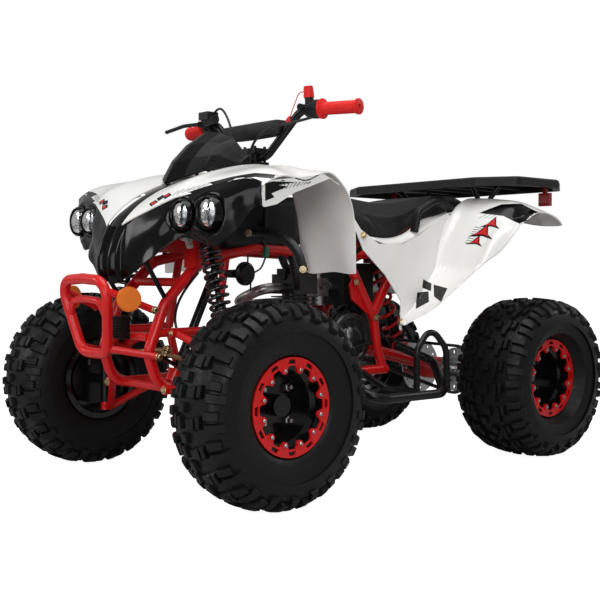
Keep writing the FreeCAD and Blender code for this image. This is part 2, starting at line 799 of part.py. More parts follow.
def air_box():
    """The air filter housing under the front of the seat."""
    return box(V(-66, 38 + running_gap, 452), V(66, 158, 574))


def exhaust():
    """The header pipe round the front of the engine to a silencer on the right."""
    route = [V(0, -95 - 44 - running_gap, 503), V(0, -214, 503), V(-92, -232, 466),
             V(-152, -150, 452), V(-150, 120, 462), V(-162, 300, 500), V(-164, 352, 506)]
    pipe = bent_tube(route, 15, 60)
    front, back = V(-164, 330, 504), V(-166, 590, 528)
    run = V(back - front).normalize()
    silencer = rod(front, back, 44)
    caps = [rod(front, front + run * 14, 46), rod(back - run * 18, back, 46)]
    cone = Part.makeCone(20, 44, 36, front - run * 35, run)
    tip = rod(back - run * 5, back + run * 26, 17)
    return fused([pipe, cone, silencer] + caps + [tip])


def swingarm():
    """The rear fork, its pivot tube and the axle carrier, cut for the axle."""
    rear = V(0, rear_axle_y, rear_tyre_radius)
    reach = V(frame_half - main_tube - running_gap, 0, 0)
    pivot = rod(swing_pivot - reach, swing_pivot + reach, 15)
    pieces = [pivot]
    for side in (-1, 1):
        arm_x = side * 40
        pieces.append(rod(V(arm_x, swing_pivot.y, swing_pivot.z), V(arm_x, rear.y, rear.z), 13))
    carrier = rod(V(-55, rear.y, rear.z), V(55, rear.y, rear.z), 36)
    deck_z = swing_deck_z
    pieces.append(rod(V(-40, rear_shock_foot.y, deck_z), V(40, rear_shock_foot.y, deck_z), 11))
    for side in (-1, 1):
        x = side * (shock_eye_half + running_gap)
        pieces.append(box(V(min(x, x + side * 6), rear_shock_foot.y - 16, deck_z),
                          V(max(x, x + side * 6), rear_shock_foot.y + 16, rear_shock_foot.z + 14)))
    pieces.append(carrier)
    hole = rod(V(-90, rear.y, rear.z), V(90, rear.y, rear.z), axle_radius + running_gap)
    return fused(pieces).cut(hole)


# Rear axle


def rear_axle():
    """The solid rear axle with a hub, wheel flange and studs at each end."""
    y, z = rear_axle_y, rear_tyre_radius
    pieces = [rod(V(-rear_disc_x - 26, y, z), V(rear_disc_x + 26, y, z), axle_radius)]
    for side in (-1, 1):
        back = rear_disc_x - 6 - running_gap
        pieces.append(rod(V(side * (back - 92), y, z), V(side * back, y, z), 23))
        pieces.append(rod(V(side * (back - 9), y, z), V(side * back, y, z), 68))
        pieces.append(rod(V(side * (back - 2), y, z), V(side * (rear_disc_x + 14), y, z),
                          wheel_bore_radius - 1))
        for k in range(stud_count):
            angle = 2 * math.pi * (k + 0.5) / stud_count
            sy, sz = y + stud_circle * math.cos(angle), z + stud_circle * math.sin(angle)
            pieces.append(rod(V(side * (back - 2), sy, sz), V(side * (rear_disc_x + 12), sy, sz),
                              stud_hole_radius - 0.5))
            pieces.append(rod(V(side * (rear_disc_x + running_gap), sy, sz),
                              V(side * (rear_disc_x + 8), sy, sz), 8.5))
    for x in (chain_x, brake_disc_x):
        outward = 1 if x > 0 else -1
        pieces.append(rod(V(x + outward * 3, y, z), V(x + outward * 11, y, z), 42))
        pieces.append(rod(V(x - outward * 12, y, z), V(x + outward * 40, y, z), hub_radius))
    return fused(pieces)


def brake_disc():
    """The rear brake disc with its ring of round holes, on its carrier on the axle."""
    at = V(brake_disc_x - 2, rear_axle_y, rear_tyre_radius)
    disc = Part.makeCylinder(brake_disc_radius, 4, at, X_AXIS)
    cutters = [Part.makeCylinder(hub_radius + running_gap, 12, at - V(4, 0, 0), X_AXIS)]
    for k in range(disc_holes):
        place = wheel_point(at - V(4, 0, 0), 0, brake_disc_radius - 14, 2 * math.pi * k / disc_holes)
        cutters.append(Part.makeCylinder(4.5, 12, place, X_AXIS))
    return disc.cut(Part.makeCompound(cutters))


def brake_caliper():
    """The rear caliper: two halves astride the disc, on a bracket on the axle carrier."""
    y, z = rear_axle_y - 62, rear_tyre_radius + 62
    outer = box(V(brake_disc_x - 22, y - 26, z - 22), V(brake_disc_x - 3, y + 22, z + 24))
    inner = box(V(brake_disc_x + 3, y - 26, z - 22), V(brake_disc_x + 22, y + 22, z + 24))
    bridge = box(V(brake_disc_x - 22, y - 38, z - 18), V(brake_disc_x + 22, y - 26, z + 40))
    face = brake_disc_x + 22
    axle_z = rear_tyre_radius
    outline = [(y - 26, z - 22), (y - 26, z + 20), (y + 22, z + 24),
               (rear_axle_y + 20, axle_z + 32), (rear_axle_y + 34, axle_z),
               (rear_axle_y + 20, axle_z - 30), (rear_axle_y - 20, axle_z - 30)]
    bracket = plate_x(outline, face - 7, 6 - running_gap)
    hole = rod(V(-90, rear_axle_y, rear_tyre_radius), V(-40, rear_axle_y, rear_tyre_radius), 20)
    return fused([outer, inner, bridge, bracket]).cut(hole)


# Bodywork


def yz(x, pairs):
    """Points at one x from (y, z) pairs."""
    return [V(x, y, z) for y, z in pairs]


def skin_line(points, creased):
    """The line of a skin through its points: straight runs, or one smooth curve."""
    if creased:
        return [Part.LineSegment(a, b).toShape() for a, b in zip(points, points[1:])]
    curve = Part.BSplineCurve()
    curve.interpolate(points)
    return [curve.toShape()]


def shell_wire(top, wall, creased):
    """One closed section of a moulded shell through points of its outer skin."""
    under = []
    for k, point in enumerate(top):
        before = top[max(k - 1, 0)]
        after = top[min(k + 1, len(top) - 1)]
        normal = (after - before).cross(X_AXIS)
        normal.normalize()
        under.append(point - normal * wall)
    edges = skin_line(top, creased)
    edges.append(Part.LineSegment(top[-1], under[-1]).toShape())
    edges += skin_line(under[::-1], creased)
    edges.append(Part.LineSegment(under[0], top[0]).toShape())
    return Part.Wire(edges)


def shell(stations, wall=panel_wall, creased=False):
    """A moulded shell lofted through sections of (y, z) points at each x."""
    wires = [shell_wire(yz(x, pairs), wall, creased) for x, pairs in stations]
    return Part.makeLoft(wires, True, creased)


def across(half):
    """Stations on both sides of the middle, from those of the left side."""
    return [(-x, pairs) for x, pairs in half[:0:-1]] + half


def front_fender():
    """Left front mudguard and hood wing in one moulding, with its rear wall and outer skirt."""
    edge = [(-552, 745), (-522, 762), (-462, 780), (-365, 788), (-290, 748), (-260, 645), (-258, 546)]
    stations = [
        (36, [(-688, 664), (-650, 705), (-560, 760), (-420, 800), (-300, 806), (-215, 798),
              (-176, 786)]),
        (100, [(-662, 694), (-620, 738), (-540, 778), (-420, 812), (-300, 818), (-215, 806),
               (-174, 790)]),
        (150, [(-644, 714), (-598, 760), (-534, 787), (-410, 818), (-306, 824), (-225, 812),
               (-172, 792)]),
        (205, [(-623, 730), (-585, 764), (-520, 790), (-400, 816), (-300, 800), (-262, 700),
               (-250, 585)]),
        (300, [(-587, 751), (-555, 775), (-490, 796), (-385, 806), (-295, 775), (-256, 660),
               (-252, 548)]),
        (375, [(-560, 763), (-530, 780), (-470, 794), (-372, 796), (-290, 756), (-262, 650),
               (-256, 546)]),
        (fender_edge_x, edge),
    ]
    lower = [(-300, 745), (-345, 770), (-455, 729), (-510, 706), (-551, 697)]
    skirt = plate_x([(y, z - 1) for y, z in edge[:5]] + lower[1:], fender_edge_x - panel_wall,
                    panel_wall, 6)
    return fused([shell(stations), skirt])


def nose_mask():
    """The gloss black nose below the hood, with its grille slots and openings for the lamps."""
    half = [
        (0, [(-676, 655), (-692, 610), (-697, 570), (-698, 528)]),
        (38, [(-672, 664), (-704, 618), (-712, 570), (-704, 522)]),
        (72, [(-664, 676), (-684, 628), (-690, 580), (-690, 540)]),
        (110, [(-652, 690), (-672, 645), (-676, 600), (-680, 564)]),
        (150, [(-638, 706), (-658, 668), (-662, 626), (-672, 586)]),
        (185, [(-626, 716), (-640, 690), (-640, 655), (-648, 618)]),
        (215, [(-614, 723), (-632, 700), (-630, 665), (-622, 638)]),
        (245, [(-603, 732), (-628, 705), (-628, 660), (-604, 622)]),
        (300, [(-584, 743), (-628, 705), (-628, 650), (-600, 610)]),
        (345, [(-567, 749), (-606, 715), (-606, 660), (-588, 622)]),
        (380, [(-553, 753), (-562, 735), (-560, 712), (-556, 690)]),
    ]
    mask = shell(across(half), mask_wall)
    cutters = []
    for side in (-1, 1):
        for x, y, z, _, bezel in lamps:
            at = V(side * x, y, z)
            cutters.append(rod(at - V(0, 60, 0), at + V(0, 80, 0), bezel + running_gap))
        for k in range(grille_slots):
            x = side * (66 + k * grille_pitch)
            low = 626 + k * 3.5
            cutters.append(box(V(x - 3, -720, low), V(x + 3, -600, low + 40)))
    return largest(mask.cut(Part.makeCompound(cutters)))


def lamp_bowls(side):
    """Two lamp bodies of one side, each a cup behind its lens with a flared bezel."""
    bowls = []
    for x, y, z, r, bezel in lamps:
        at = V(side * x, y, z)
        lip = at - V(0, bezel_depth, 0)
        cup = rod(at + V(0, 2, 0), at + V(0, 2 + lamp_depth, 0), r)
        flare = Part.makeCone(bezel, r, bezel_depth + 2, lip, Y_AXIS)
        hollow = rod(at - V(0, 1, 0), at + V(0, lamp_depth - 14, 0), r - lamp_wall)
        funnel = Part.makeCone(bezel - lamp_wall, r - lamp_wall, bezel_depth + 2,
                               lip - V(0, 0.5, 0), Y_AXIS)
        bowls.append(fused([cup, flare]).cut(hollow).cut(funnel))
    return Part.makeCompound(bowls)


def lamp_lenses(side):
    """The domed clear lenses of one side."""
    lenses = []
    for x, y, z, r, _ in lamps:
        at = V(side * x, y, z)
        dome = Part.makeSphere(r * 1.25, at + V(0, r * 0.85, 0))
        window = rod(at - V(0, 20, 0), at + V(0, 12, 0), r - lamp_wall - running_gap)
        lenses.append(dome.common(window))
    return Part.makeCompound(lenses)


def cowl():
    """The gloss black shield in front of the handlebar, in flats round a ridge."""
    half = [
        (0, [(-537, 776), (-505, 830), (-455, 880), (-400, 919)]),
        (45, [(-512, 790), (-482, 839), (-436, 884), (-392, 912)]),
        (80, [(-470, 807), (-448, 847), (-412, 880), (-378, 896)]),
        (105, [(-425, 823), (-412, 849), (-392, 868), (-368, 880)]),
        (124, [(-388, 839), (-382, 852), (-372, 860), (-358, 868)]),
    ]
    return shell(across(half), mask_wall, True)


def saddle():
    """The seat: a firm cushion, low where the rider sits and rising to a hump."""
    stations = [(-42, 92, 725, 774), (20, 120, 665, 764), (100, 132, 640, 754), (190, 132, 645, 751),
                (300, 126, 698, 768), (420, 126, 727, 783), (510, 120, 740, 783), (552, 104, 746, 768)]
    wires = []
    for y, half, low, top in stations:
        shoulder = (top - low) * 0.35
        points = [V(-half, y, low), V(-half, y, top - shoulder), V(-half * 0.72, y, top),
                  V(half * 0.72, y, top), V(half, y, top - shoulder), V(half, y, low)]
        wires.append(rounded(points, 10))
    return Part.makeLoft(wires, True, False)


def side_panel():
    """Left side panel, from the tank cover down past the frame to its lower bolt."""
    lean = 0.17
    base = 150

    def at(y, z):
        return V(base + (760 - z) * lean, y, z)

    outline = [(-168, 785), (-60, 772), (-32, 722), (5, 668), (71, 628), (174, 630), (250, 658),
               (330, 700), (400, 735), (385, 690), (300, 540), (262, 440), (236, 350), (214, 352),
               (203, 380), (198, 430), (156, 466), (81, 540), (5, 610), (-14, 661), (-60, 720)]
    face = Part.Face(rounded([at(y, z) for y, z in outline], 14))
    normal = face.normalAt(0, 0)
    plate = face.extrude(normal * (panel_wall if normal.x > 0 else -panel_wall))
    return largest(plate.cut(grab_handle()).cut(rear_fender()))


def largest(shape):
    """The biggest solid that a cut leaves."""
    return max(shape.Solids, key=lambda solid: solid.Volume)


def rear_fender():
    """Left rear mudguard: a front wall that rises and rolls back over the tyre."""
    stations = [
        (160, [(300, 560), (350, 655), (405, 728), (462, 766), (535, 766), (610, 728)]),
        (195, [(262, 460), (330, 610), (398, 715), (460, 766), (542, 764), (625, 718)]),
        (230, [(242, 372), (318, 570), (392, 700), (460, 764), (550, 760), (640, 706)]),
        (300, [(262, 455), (340, 600), (405, 702), (465, 757), (555, 748), (640, 692)]),
        (352, [(310, 553), (366, 640), (420, 704), (475, 744), (560, 735), (632, 688)]),
        (400, [(415, 638), (435, 664), (462, 696), (500, 722), (545, 714), (575, 690)]),
    ]
    return largest(shell(stations).cut(grab_handle()))


def grab_handle():
    """Left grab handle: a broad moulded arch beside the seat."""
    path = [V(150, 245, 668), V(150, 262, 728), V(150, 335, 762), V(150, 402, 746), V(150, 440, 690)]
    return bent_strip(path, V(handle_half, 0, 0), 16, 30)


def rack_outline(level, inset):
    """The carrier's outline at one height, drawn in by an inset."""
    middle = 595
    sides = [(250, 400), (rack_half, 470), (rack_half, 672), (282, rack_end)]
    sides += [(-x, y) for x, y in reversed(sides)]
    share_x = 1 - inset / rack_half
    share_y = 1 - inset / (rack_end - middle)
    return rounded([V(x * share_x, middle + (y - middle) * share_y, level) for x, y in sides], 26)


def rack():
    """The flat rear carrier plate with its downturned rim, long slots and ribs below."""
    base = rack_top - rack_depth
    plate = Part.Face(rack_outline(base, 0)).extrude(V(0, 0, rack_depth - 5))
    crown = Part.makeLoft([rack_outline(rack_top - 5, 0), rack_outline(rack_top, 5)], True, True)
    plate = plate.fuse(crown)
    hollow = Part.Face(rack_outline(base - 1, 18)).extrude(V(0, 0, rack_depth - rack_skin + 1))
    cutters = []
    for k in range(rack_slots):
        x = (k - (rack_slots - 1) / 2) * rack_slot_pitch
        corners = [V(x - 22, 470, base - 5), V(x + 22, 470, base - 5), V(x + 22, 720, base - 5),
                   V(x - 22, 720, base - 5)]
        cutters.append(Part.Face(rounded(corners, 16)).extrude(V(0, 0, rack_depth + 10)))
    plate = plate.cut(hollow)
    ribs = []
    for k in range(rack_slots - 1):
        x = (k - (rack_slots - 2) / 2) * rack_slot_pitch
        ribs.append(box(V(x - 4, 420, rack_top - 16), V(x + 4, 770, rack_top - rack_skin + 1)))
    return fused([plate] + ribs).cut(Part.makeCompound(cutters))


def rack_posts():
    """Four posts between the seat rails and the carrier."""
    low = rack_top - rack_skin - 3
    front = bent_tube([V(112, 590, 716), V(137, 562, 770), V(160, 500, low)], 8, 40)
    rear = rod(V(108, 585, 716), V(150, 645, low), 8)
    posts = both_sides(front.fuse(rear))
    return posts.cut(both_sides(left_frame)).cut(rack())


def reflector(side):
    """A square red reflector under the carrier's rear corner, on its bracket."""
    body = box(V(side * 320 - 20, 650, 752), V(side * 320 + 20, 664, 792))
    tab = box(V(side * 320 - 7, 652, 792), V(side * 320 + 7, 660, rack_top - rack_skin - running_gap))
    return fused([body, tab])


def nearest_solid(shape, point):
    """The solid of a cut shape that lies nearest to a point."""
    return min(shape.Solids, key=lambda solid: solid.distToShape(Part.Vertex(point))[0])


def fender_stays(panels):
    """Steel stays from the frame to the underside of the front bodywork."""
    frame_body = both_sides(left_frame)
    stays = []
    for side in (-1, 1):
        for foot, head, radius in ((V(104, -470, 588), V(112, -448, 850), 6),
                                   (V(104, -300, 610), V(176, -330, 840), 6),
                                   (V(105, -606, 480), V(112, -690, 606), 6),
                                   (V(28, -358, 616), V(28, -452, 930), 5),
                                   (V(104, 215, 600), V(196, 212, 600), 7),
                                   (V(104, 30, 597), V(196, 44, 648), 7)):
            foot = V(side * foot.x, foot.y, foot.z)
            head = V(side * head.x, head.y, head.z)
            stay = rod(foot, head, radius)
            for other in (frame_body,) + panels:
                stay = nearest_solid(stay.cut(other), foot)
            stays.append(stay)
    return Part.makeCompound(stays)


# Bars and pegs


def bumper_strut():
    """Both ends of the bumper's left upper strut."""
    return V(108, -774, 505), V(frame_half + 25, -660, 458)


def bumper_half():
    """Left half of the front bumper: loop, arch, upper strut and lower leg."""
    loop = bent_tube([V(0, -744, 350), V(60, -746, 352), V(112, -777, 528), V(0, -777, 534)], 13, 42)
    arch = bent_tube([V(86, -764, 440), V(62, -768, 480), V(0, -770, 484)], 9, 30)
    strut = rod(*bumper_strut(), strut_radius)
    leg = rod(V(62, -750, 366), V(frame_half + 27, -650, 345), 9)
    return fused([loop, arch, strut, leg])


def nerf_bar():
    """Left foot guard: the outer bar with its two inward runs, heel loop and peg."""
    inner = frame_half + main_tube + 0.5
    back = rear_axle_y - rear_tyre_radius - guard_gap
    corner = back - 92
    bar = bent_tube([V(inner, -70, 276), V(200, -110, 268), V(332, -100, 212), V(334, corner, 210),
                     V(215, back, 285), V(inner, back - 57, 330)], 13, 50)
    hoop = bent_tube([V(322, corner - 100, 216), V(316, corner - 94, 334), V(312, corner - 33, 396),
                      V(316, corner + 28, 334), V(322, corner + 26, 216)], 9, 45)
    pitch = 54 / peg_teeth
    outline = [(74, 214), (20, 214), (20, 222)]
    for k in range(peg_teeth):
        outline += [(20 + (k + 0.5) * pitch, 230), (20 + (k + 1) * pitch, 222)]
    peg = plate_x(outline, 232, 98)
    stay = rod(V(inner, 40, 268), V(240, 46, 219), 10)
    return fused([bar, hoop, peg, stay])


def regulator():
    """The voltage regulator between the front frame tubes, with level cooling fins."""
    low, high = 382, 440
    back = -666 - running_gap
    pitch = (high - low) / regulator_fins
    outline = [(back, low), (back, high)]
    for k in range(regulator_fins):
        z = high - k * pitch
        outline += [(back - 26, z), (back - 26, z - pitch * 0.45), (back - 8, z - pitch * 0.45),
                    (back - 8, z - pitch)]
    return plate_x(outline[:-1] + [(back - 8, low)], -34, 68)


def horn():
    """The round horn on the left brace of the frame, with its bracket."""
    middle = V(frame_half + thin_tube + 20, -388, 545)
    body = turned_about_x([(0, 0), (0, 27), (4, 31), (9, 31), (13, 24), (20, 21), (20, 0)], middle)
    foot = V(frame_half, -429, 545)
    boss = rod(foot, V(middle.x - 3, foot.y, foot.z), 6).cut(left_frame)
    strap = plate_x([(-440, 535), (-440, 555), (-380, 557), (-380, 533)], middle.x - 3, 3, 4)
    return fused([nearest_solid(boss, middle), strap, body])


def gear_lever():
    """The gear lever on the left of the engine: shaft, arm and toe peg."""
    shaft = rod(V(cover_x + cover_face + running_gap, 66, 346), V(150, 66, 346), 6.5)
    arm = bent_tube([V(146, 66, 346), V(150, -30, 330), V(152, -104, 322)], 6, 60)
    peg = rod(V(148, -104, 322), V(238, -104, 322), 8)
    return fused([shaft, arm, peg])


def round_reflector(side):
    """An amber round reflector with its stud on a strut of the front bumper."""
    outward = V(side * 0.955, -0.296, 0)
    start, end = bumper_strut()
    seat = start + (end - start) * 0.42
    seat = V(side * seat.x, seat.y, seat.z)
    face = seat + outward * (strut_radius + 5)
    disc = rod(face, face + outward * 9, 27)
    rim = rod(face, face + outward * 5, 30)
    stud = rod(seat + outward * (strut_radius + 1), face + outward, 6)
    return fused([disc, rim, stud])


# Handlebar furniture


def bar_pad():
    """The square foam pad over the cross brace."""
    pad = box(V(-124, -264, 914), V(124, -214, 958))
    pad = pad.cut(rod(V(-150, -238, 934), V(150, -238, 934), 8 + running_gap))
    for side in (-1, 1):
        pad = pad.cut(rod(V(side * 52, -240, 862), V(side * 185, -232, 975), bar_radius + 1))
    return largest(pad)


def bar_point(side, x):
    """A point on the straight outer stretch of the handlebar, and its direction outwards."""
    start, end = V(185, -232, 975), V(362, -196, 968)
    run = V(end - start).normalize()
    at = start + run * ((x - start.x) / run.x)
    return V(side * at.x, at.y, at.z), V(side * run.x, run.y, run.z)


def lever_perch(side):
    """The bracket and blade of a brake lever."""
    at, run = bar_point(side, perch_x)
    clamp = rod(at - run * 8, at + run * 9, 19)
    perch = rod(at, at + V(side * 8, -44, 2), 9)
    blade = bent_tube([at + V(side * 8, -44, 2), at + V(side * 56, -62, 0), at + V(side * 155, -56, -8)],
                      5.5, 40)
    return [clamp, perch, blade]


def hand_controls():
    """Brake levers, the left switch box and cut-out cap, the right thumb throttle and cylinder."""
    pieces = []
    for side in (-1, 1):
        at, run = bar_point(side, switch_x)
        group = lever_perch(side)
        stand = bar_point(side, perch_x)[0]
        if side > 0:
            group.append(rod(at - run * 9, at + run * 10, 22))
            group.append(rod(at, at + V(0, 38, 6), 11))
            group.append(rod(stand, stand + V(0, -6, 58), 12))
        else:
            group.append(rod(at - run * 9, at + run * 10, 23))
            group.append(bent_tube([at + V(0, 8, -6), at + V(-14, 40, -14), at + V(-40, 52, -14)], 6, 14))
            cylinder = bent_tube([stand + V(4, -30, 8), stand + V(60, -34, 12)], 13, 10)
            group.append(cylinder)
            group.append(box(stand + V(0, -50, 12), stand + V(44, -12, 34)))
        bore = rod(at - run * 60, at + run * 60, bar_radius + running_gap)
        pieces.append(fused(group).cut(bore))
    return Part.makeCompound(pieces)


left_frame = side_frame()
wheel_front_rim = wheel_rim(front_centre, front_rim_half, dish_depth_front, 1).fuse(front_hub())

nodes = {
    "frame_sides": both_sides(left_frame),
    "frame_crossings": crossings(left_frame).cut(saddle()),
    "wishbones": both_sides(front_arms()),
    "front_dampers": both_sides(damper(front_shock_top, front_shock_foot, front_coil_radius, Y_AXIS)),
    "front_springs": both_sides(spring(front_shock_top, front_shock_foot, front_coil_radius,
                                       front_wire_radius, front_coils)),
    "rear_damper": damper(rear_shock_top, rear_shock_foot, rear_coil_radius, X_AXIS),
    "rear_spring": spring(rear_shock_top, rear_shock_foot, rear_coil_radius, rear_wire_radius,
                          rear_coils),
    "crankcase": crankcase(),
    "engine_covers": engine_covers(),
    "cylinder_head": cylinder_and_head(),
    "intake": intake(),
    "air_box": air_box(),
    "exhaust": exhaust(),
    "swingarm": swingarm(),
    "brake_caliper": brake_caliper(),
    "chain": chain(),
    "rear_axle": rear_axle(),
    "rear_sprocket": sprocket(rear_centre, rear_teeth, 6, 24),
    "brake_disc": brake_disc(),
    "rear_tyres": both_sides(tyre(rear_centre, rear_tyre_radius, rear_tyre_width, rear_rim_half)),
    "rear_rims": both_sides(wheel_rim(rear_centre, rear_rim_half, dish_depth_rear, 1)),
    "rear_rings": both_sides(bead_ring(rear_centre, rear_rim_half, 1)),
    "front_fenders": both_sides(front_fender()),
    "nose_mask": nose_mask(),
    "lamp_bowls": Part.makeCompound([lamp_bowls(1), lamp_bowls(-1)]),
    "lamp_lenses": Part.makeCompound([lamp_lenses(1), lamp_lenses(-1)]),
    "cowl": cowl(),
    "seat": saddle(),
    "side_panels": both_sides(side_panel()),
    "rear_fenders": both_sides(rear_fender()),
    "grab_handles": both_sides(grab_handle()),
    "rack": rack(),
    "rack_posts": rack_posts(),
    "reflectors": Part.makeCompound([reflector(1), reflector(-1)]),
    "bumper": bumper_half().fuse(mirrored(bumper_half())).cut(both_sides(left_frame)),
    "regulator": regulator(),
    "horn": horn(),
    "gear_lever": gear_lever(),
    "round_reflectors": Part.makeCompound([round_reflector(1), round_reflector(-1)]),
    "foot_guards": both_sides(nerf_bar().cut(left_frame)),
    "handlebar": handlebar(),
    "stem": steering_stem(),
    "grips": Part.makeCompound([grip(1), grip(-1)]),
    "bar_pad": bar_pad(),
    "hand_controls": hand_controls(),
    "tie_rod_left": tie_rod(1),
    "tie_rod_right": tie_rod(-1),
    "knuckle_left": knuckle(),
    "knuckle_right": mirrored(knuckle()),
}
front_tyre = tyre(front_centre, front_tyre_radius, front_tyre_width, front_rim_half)
front_ring = bead_ring(front_centre, front_rim_half, 1)
for side, turn in (("left", lambda shape: shape), ("right", mirrored)):
    nodes["tyre_front_" + side] = turn(front_tyre)
    nodes["rim_front_" + side] = turn(wheel_front_rim)
    nodes["ring_front_" + side] = turn(front_ring)

nodes["crankcase"] = nodes["crankcase"].cut(nodes["frame_crossings"])
nodes["fender_stays"] = fender_stays(tuple(nodes[name] for name in (
    "front_fenders", "nose_mask", "cowl", "side_panels", "frame_crossings")))

for name, shape in nodes.items():
    if not shape.isValid() or not shape.Solids:
        print("not sound:", name)
    save(name, shape)
print(len(nodes), "nodes")
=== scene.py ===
"""A white and red sport quad bike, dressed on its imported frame.

Metres throughout: +Z is up, the bike faces -Y and +X is the rider's left. The frame brings the
rigid pieces. Each section below finishes one group of them or makes one more piece: the skins of the
body panels, the tread, springs, bolts, nose, lamps, graphics, chain, cushions, grips, cables and
wiring. A helper stands in the first section that needs it.
"""

import json
import math

import bpy
import numpy as np
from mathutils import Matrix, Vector, geometry
from mathutils.bvhtree import BVHTree


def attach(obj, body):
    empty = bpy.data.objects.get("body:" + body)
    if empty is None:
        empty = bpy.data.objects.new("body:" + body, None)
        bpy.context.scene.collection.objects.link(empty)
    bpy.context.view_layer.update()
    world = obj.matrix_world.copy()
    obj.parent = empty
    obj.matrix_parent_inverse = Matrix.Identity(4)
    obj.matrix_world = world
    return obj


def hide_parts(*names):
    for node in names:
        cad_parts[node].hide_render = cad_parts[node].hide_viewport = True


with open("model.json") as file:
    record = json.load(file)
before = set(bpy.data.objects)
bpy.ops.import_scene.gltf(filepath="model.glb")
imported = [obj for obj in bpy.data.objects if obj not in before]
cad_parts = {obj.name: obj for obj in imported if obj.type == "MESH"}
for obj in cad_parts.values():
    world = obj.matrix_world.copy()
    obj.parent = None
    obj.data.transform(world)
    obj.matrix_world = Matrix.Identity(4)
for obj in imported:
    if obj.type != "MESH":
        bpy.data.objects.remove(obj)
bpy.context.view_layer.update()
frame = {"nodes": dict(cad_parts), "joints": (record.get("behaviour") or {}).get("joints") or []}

scene = bpy.context.scene
nodes = frame["nodes"]
joint_places = {joint["name"]: joint["pos_m"] for joint in frame["joints"]}

# Camera: low, in front of the rider's left, as the picture was taken.
# Its place and lens follow from the four wheels, whose size is known.
tilt_down, turn_left = 1.793, 48.667
camera_data = bpy.data.cameras.new("camera")
camera_data.lens = 62.93
camera_data.sensor_width = 36
camera_data.shift_x = 0.0017
camera_data.shift_y = 0.0032
camera_data.clip_end = 60
camera = bpy.data.objects.new("camera", camera_data)
scene.collection.objects.link(camera)
camera.location = (2.2635, -2.0683, 0.5569)
camera.rotation_euler = (math.radians(90 - tilt_down), 0, math.radians(turn_left))
scene.camera = camera

# Studio: a pale floor that keeps the bike's shadow, a white surround and soft lamps.
# The camera sees the surround at full white, which adds no light to the bike.
scene.view_settings.view_transform = "Standard"


def linked(tree, kind, settings=None, **inputs):
    """A shader node with its settings and its sockets: a node socket is linked, a value is set."""
    node = tree.nodes.new(kind)
    for key, value in (settings or {}).items():
        setattr(node, key, value)
    for key, value in inputs.items():
        socket = node.inputs[int(key[1:])] if key[1:].isdigit() else node.inputs[key.replace("_", " ")]
        if isinstance(value, bpy.types.NodeSocket):
            tree.links.new(value, socket)
        else:
            socket.default_value = value
    return node


def new_tree(owner):
    """The emptied node tree of a material or world."""
    owner.use_nodes = True
    owner.node_tree.nodes.clear()
    return owner.node_tree


def shown(name, points, faces, material, smooth=None):
    """An object at the origin, with a mesh of points and faces in one material. Edges sharper than
    the smooth angle, in degrees, stay sharp; without one, every face is flat."""
    mesh = bpy.data.meshes.new(name)
    mesh.from_pydata(points, [], faces)
    mesh.materials.append(material)
    if smooth is not None:
        mesh.shade_smooth()
        mesh.set_sharp_from_angle(angle=math.radians(smooth))
    piece = bpy.data.objects.new(name, mesh)
    scene.collection.objects.link(piece)
    return piece


dim, full = 0.33, 1.0
world = bpy.data.worlds.new("studio")
scene.world = world
tree = new_tree(world)
seen = linked(tree, "ShaderNodeLightPath")
direct = linked(tree, "ShaderNodeMath", {"operation": "MAXIMUM"}, i0=seen.outputs["Is Camera Ray"],
                i1=seen.outputs["Is Transmission Ray"])
level = linked(tree, "ShaderNodeMapRange", i0=direct.outputs[0], i3=dim, i4=full)
back = linked(tree, "ShaderNodeBackground", Color=(1, 1, 1, 1), Strength=level.outputs[0])
linked(tree, "ShaderNodeOutputWorld", Surface=back.outputs[0])

floor_paint = bpy.data.materials.new("studio_floor_paint")
tree = new_tree(floor_paint)
seen = linked(tree, "ShaderNodeLightPath")
lift = linked(tree, "ShaderNodeMath", {"operation": "MULTIPLY"}, i0=seen.outputs["Is Camera Ray"], i1=0.95)
matt = linked(tree, "ShaderNodeBsdfDiffuse", Color=(0.5, 0.5, 0.5, 1))
glow = linked(tree, "ShaderNodeEmission", Color=(1, 1, 1, 1), Strength=lift.outputs[0])
both = linked(tree, "ShaderNodeAddShader", i0=matt.outputs[0], i1=glow.outputs[0])
linked(tree, "ShaderNodeOutputMaterial", Surface=both.outputs[0])
far = 30
floor = shown("studio_floor", [(-far, -far, 0), (far, -far, 0), (far, far, 0), (-far, far, 0)],
              [(0, 1, 2, 3)], floor_paint)

for lamp_name, place, aim, size, watts in (
        ("overhead_softbox", (0.6, -0.6, 3.4), (0.1, 0, 0.4), 2.6, 74),
        ("front_left_softbox", (3.4, -2.6, 2.2), (0, 0, 0.5), 1.6, 48),
        ("front_right_softbox", (-2.6, -3.2, 1.9), (0, -0.3, 0.5), 1.2, 20),
        ("low_front_softbox", (0.9, -3.4, 0.7), (0.3, -0.3, 0.62), 1.4, 18),
        ("rear_softbox", (1.6, 3.4, 2.4), (0, 0.3, 0.5), 1.4, 20)):
    lamp_data = bpy.data.lights.new(lamp_name, "AREA")
    lamp_data.size = size
    lamp_data.energy = watts
    lamp = bpy.data.objects.new(lamp_name, lamp_data)
    scene.collection.objects.link(lamp)
    lamp.location = place
    lamp.rotation_euler = (Vector(aim) - Vector(place)).to_track_quat("-Z", "Y").to_euler()

# Frame, wishbones, bumper and swingarm: steel tube, bent and welded, in gloss red powder coat.
# The arms pivot in bushes on the frame. The coat is a little darker and duller in patches.


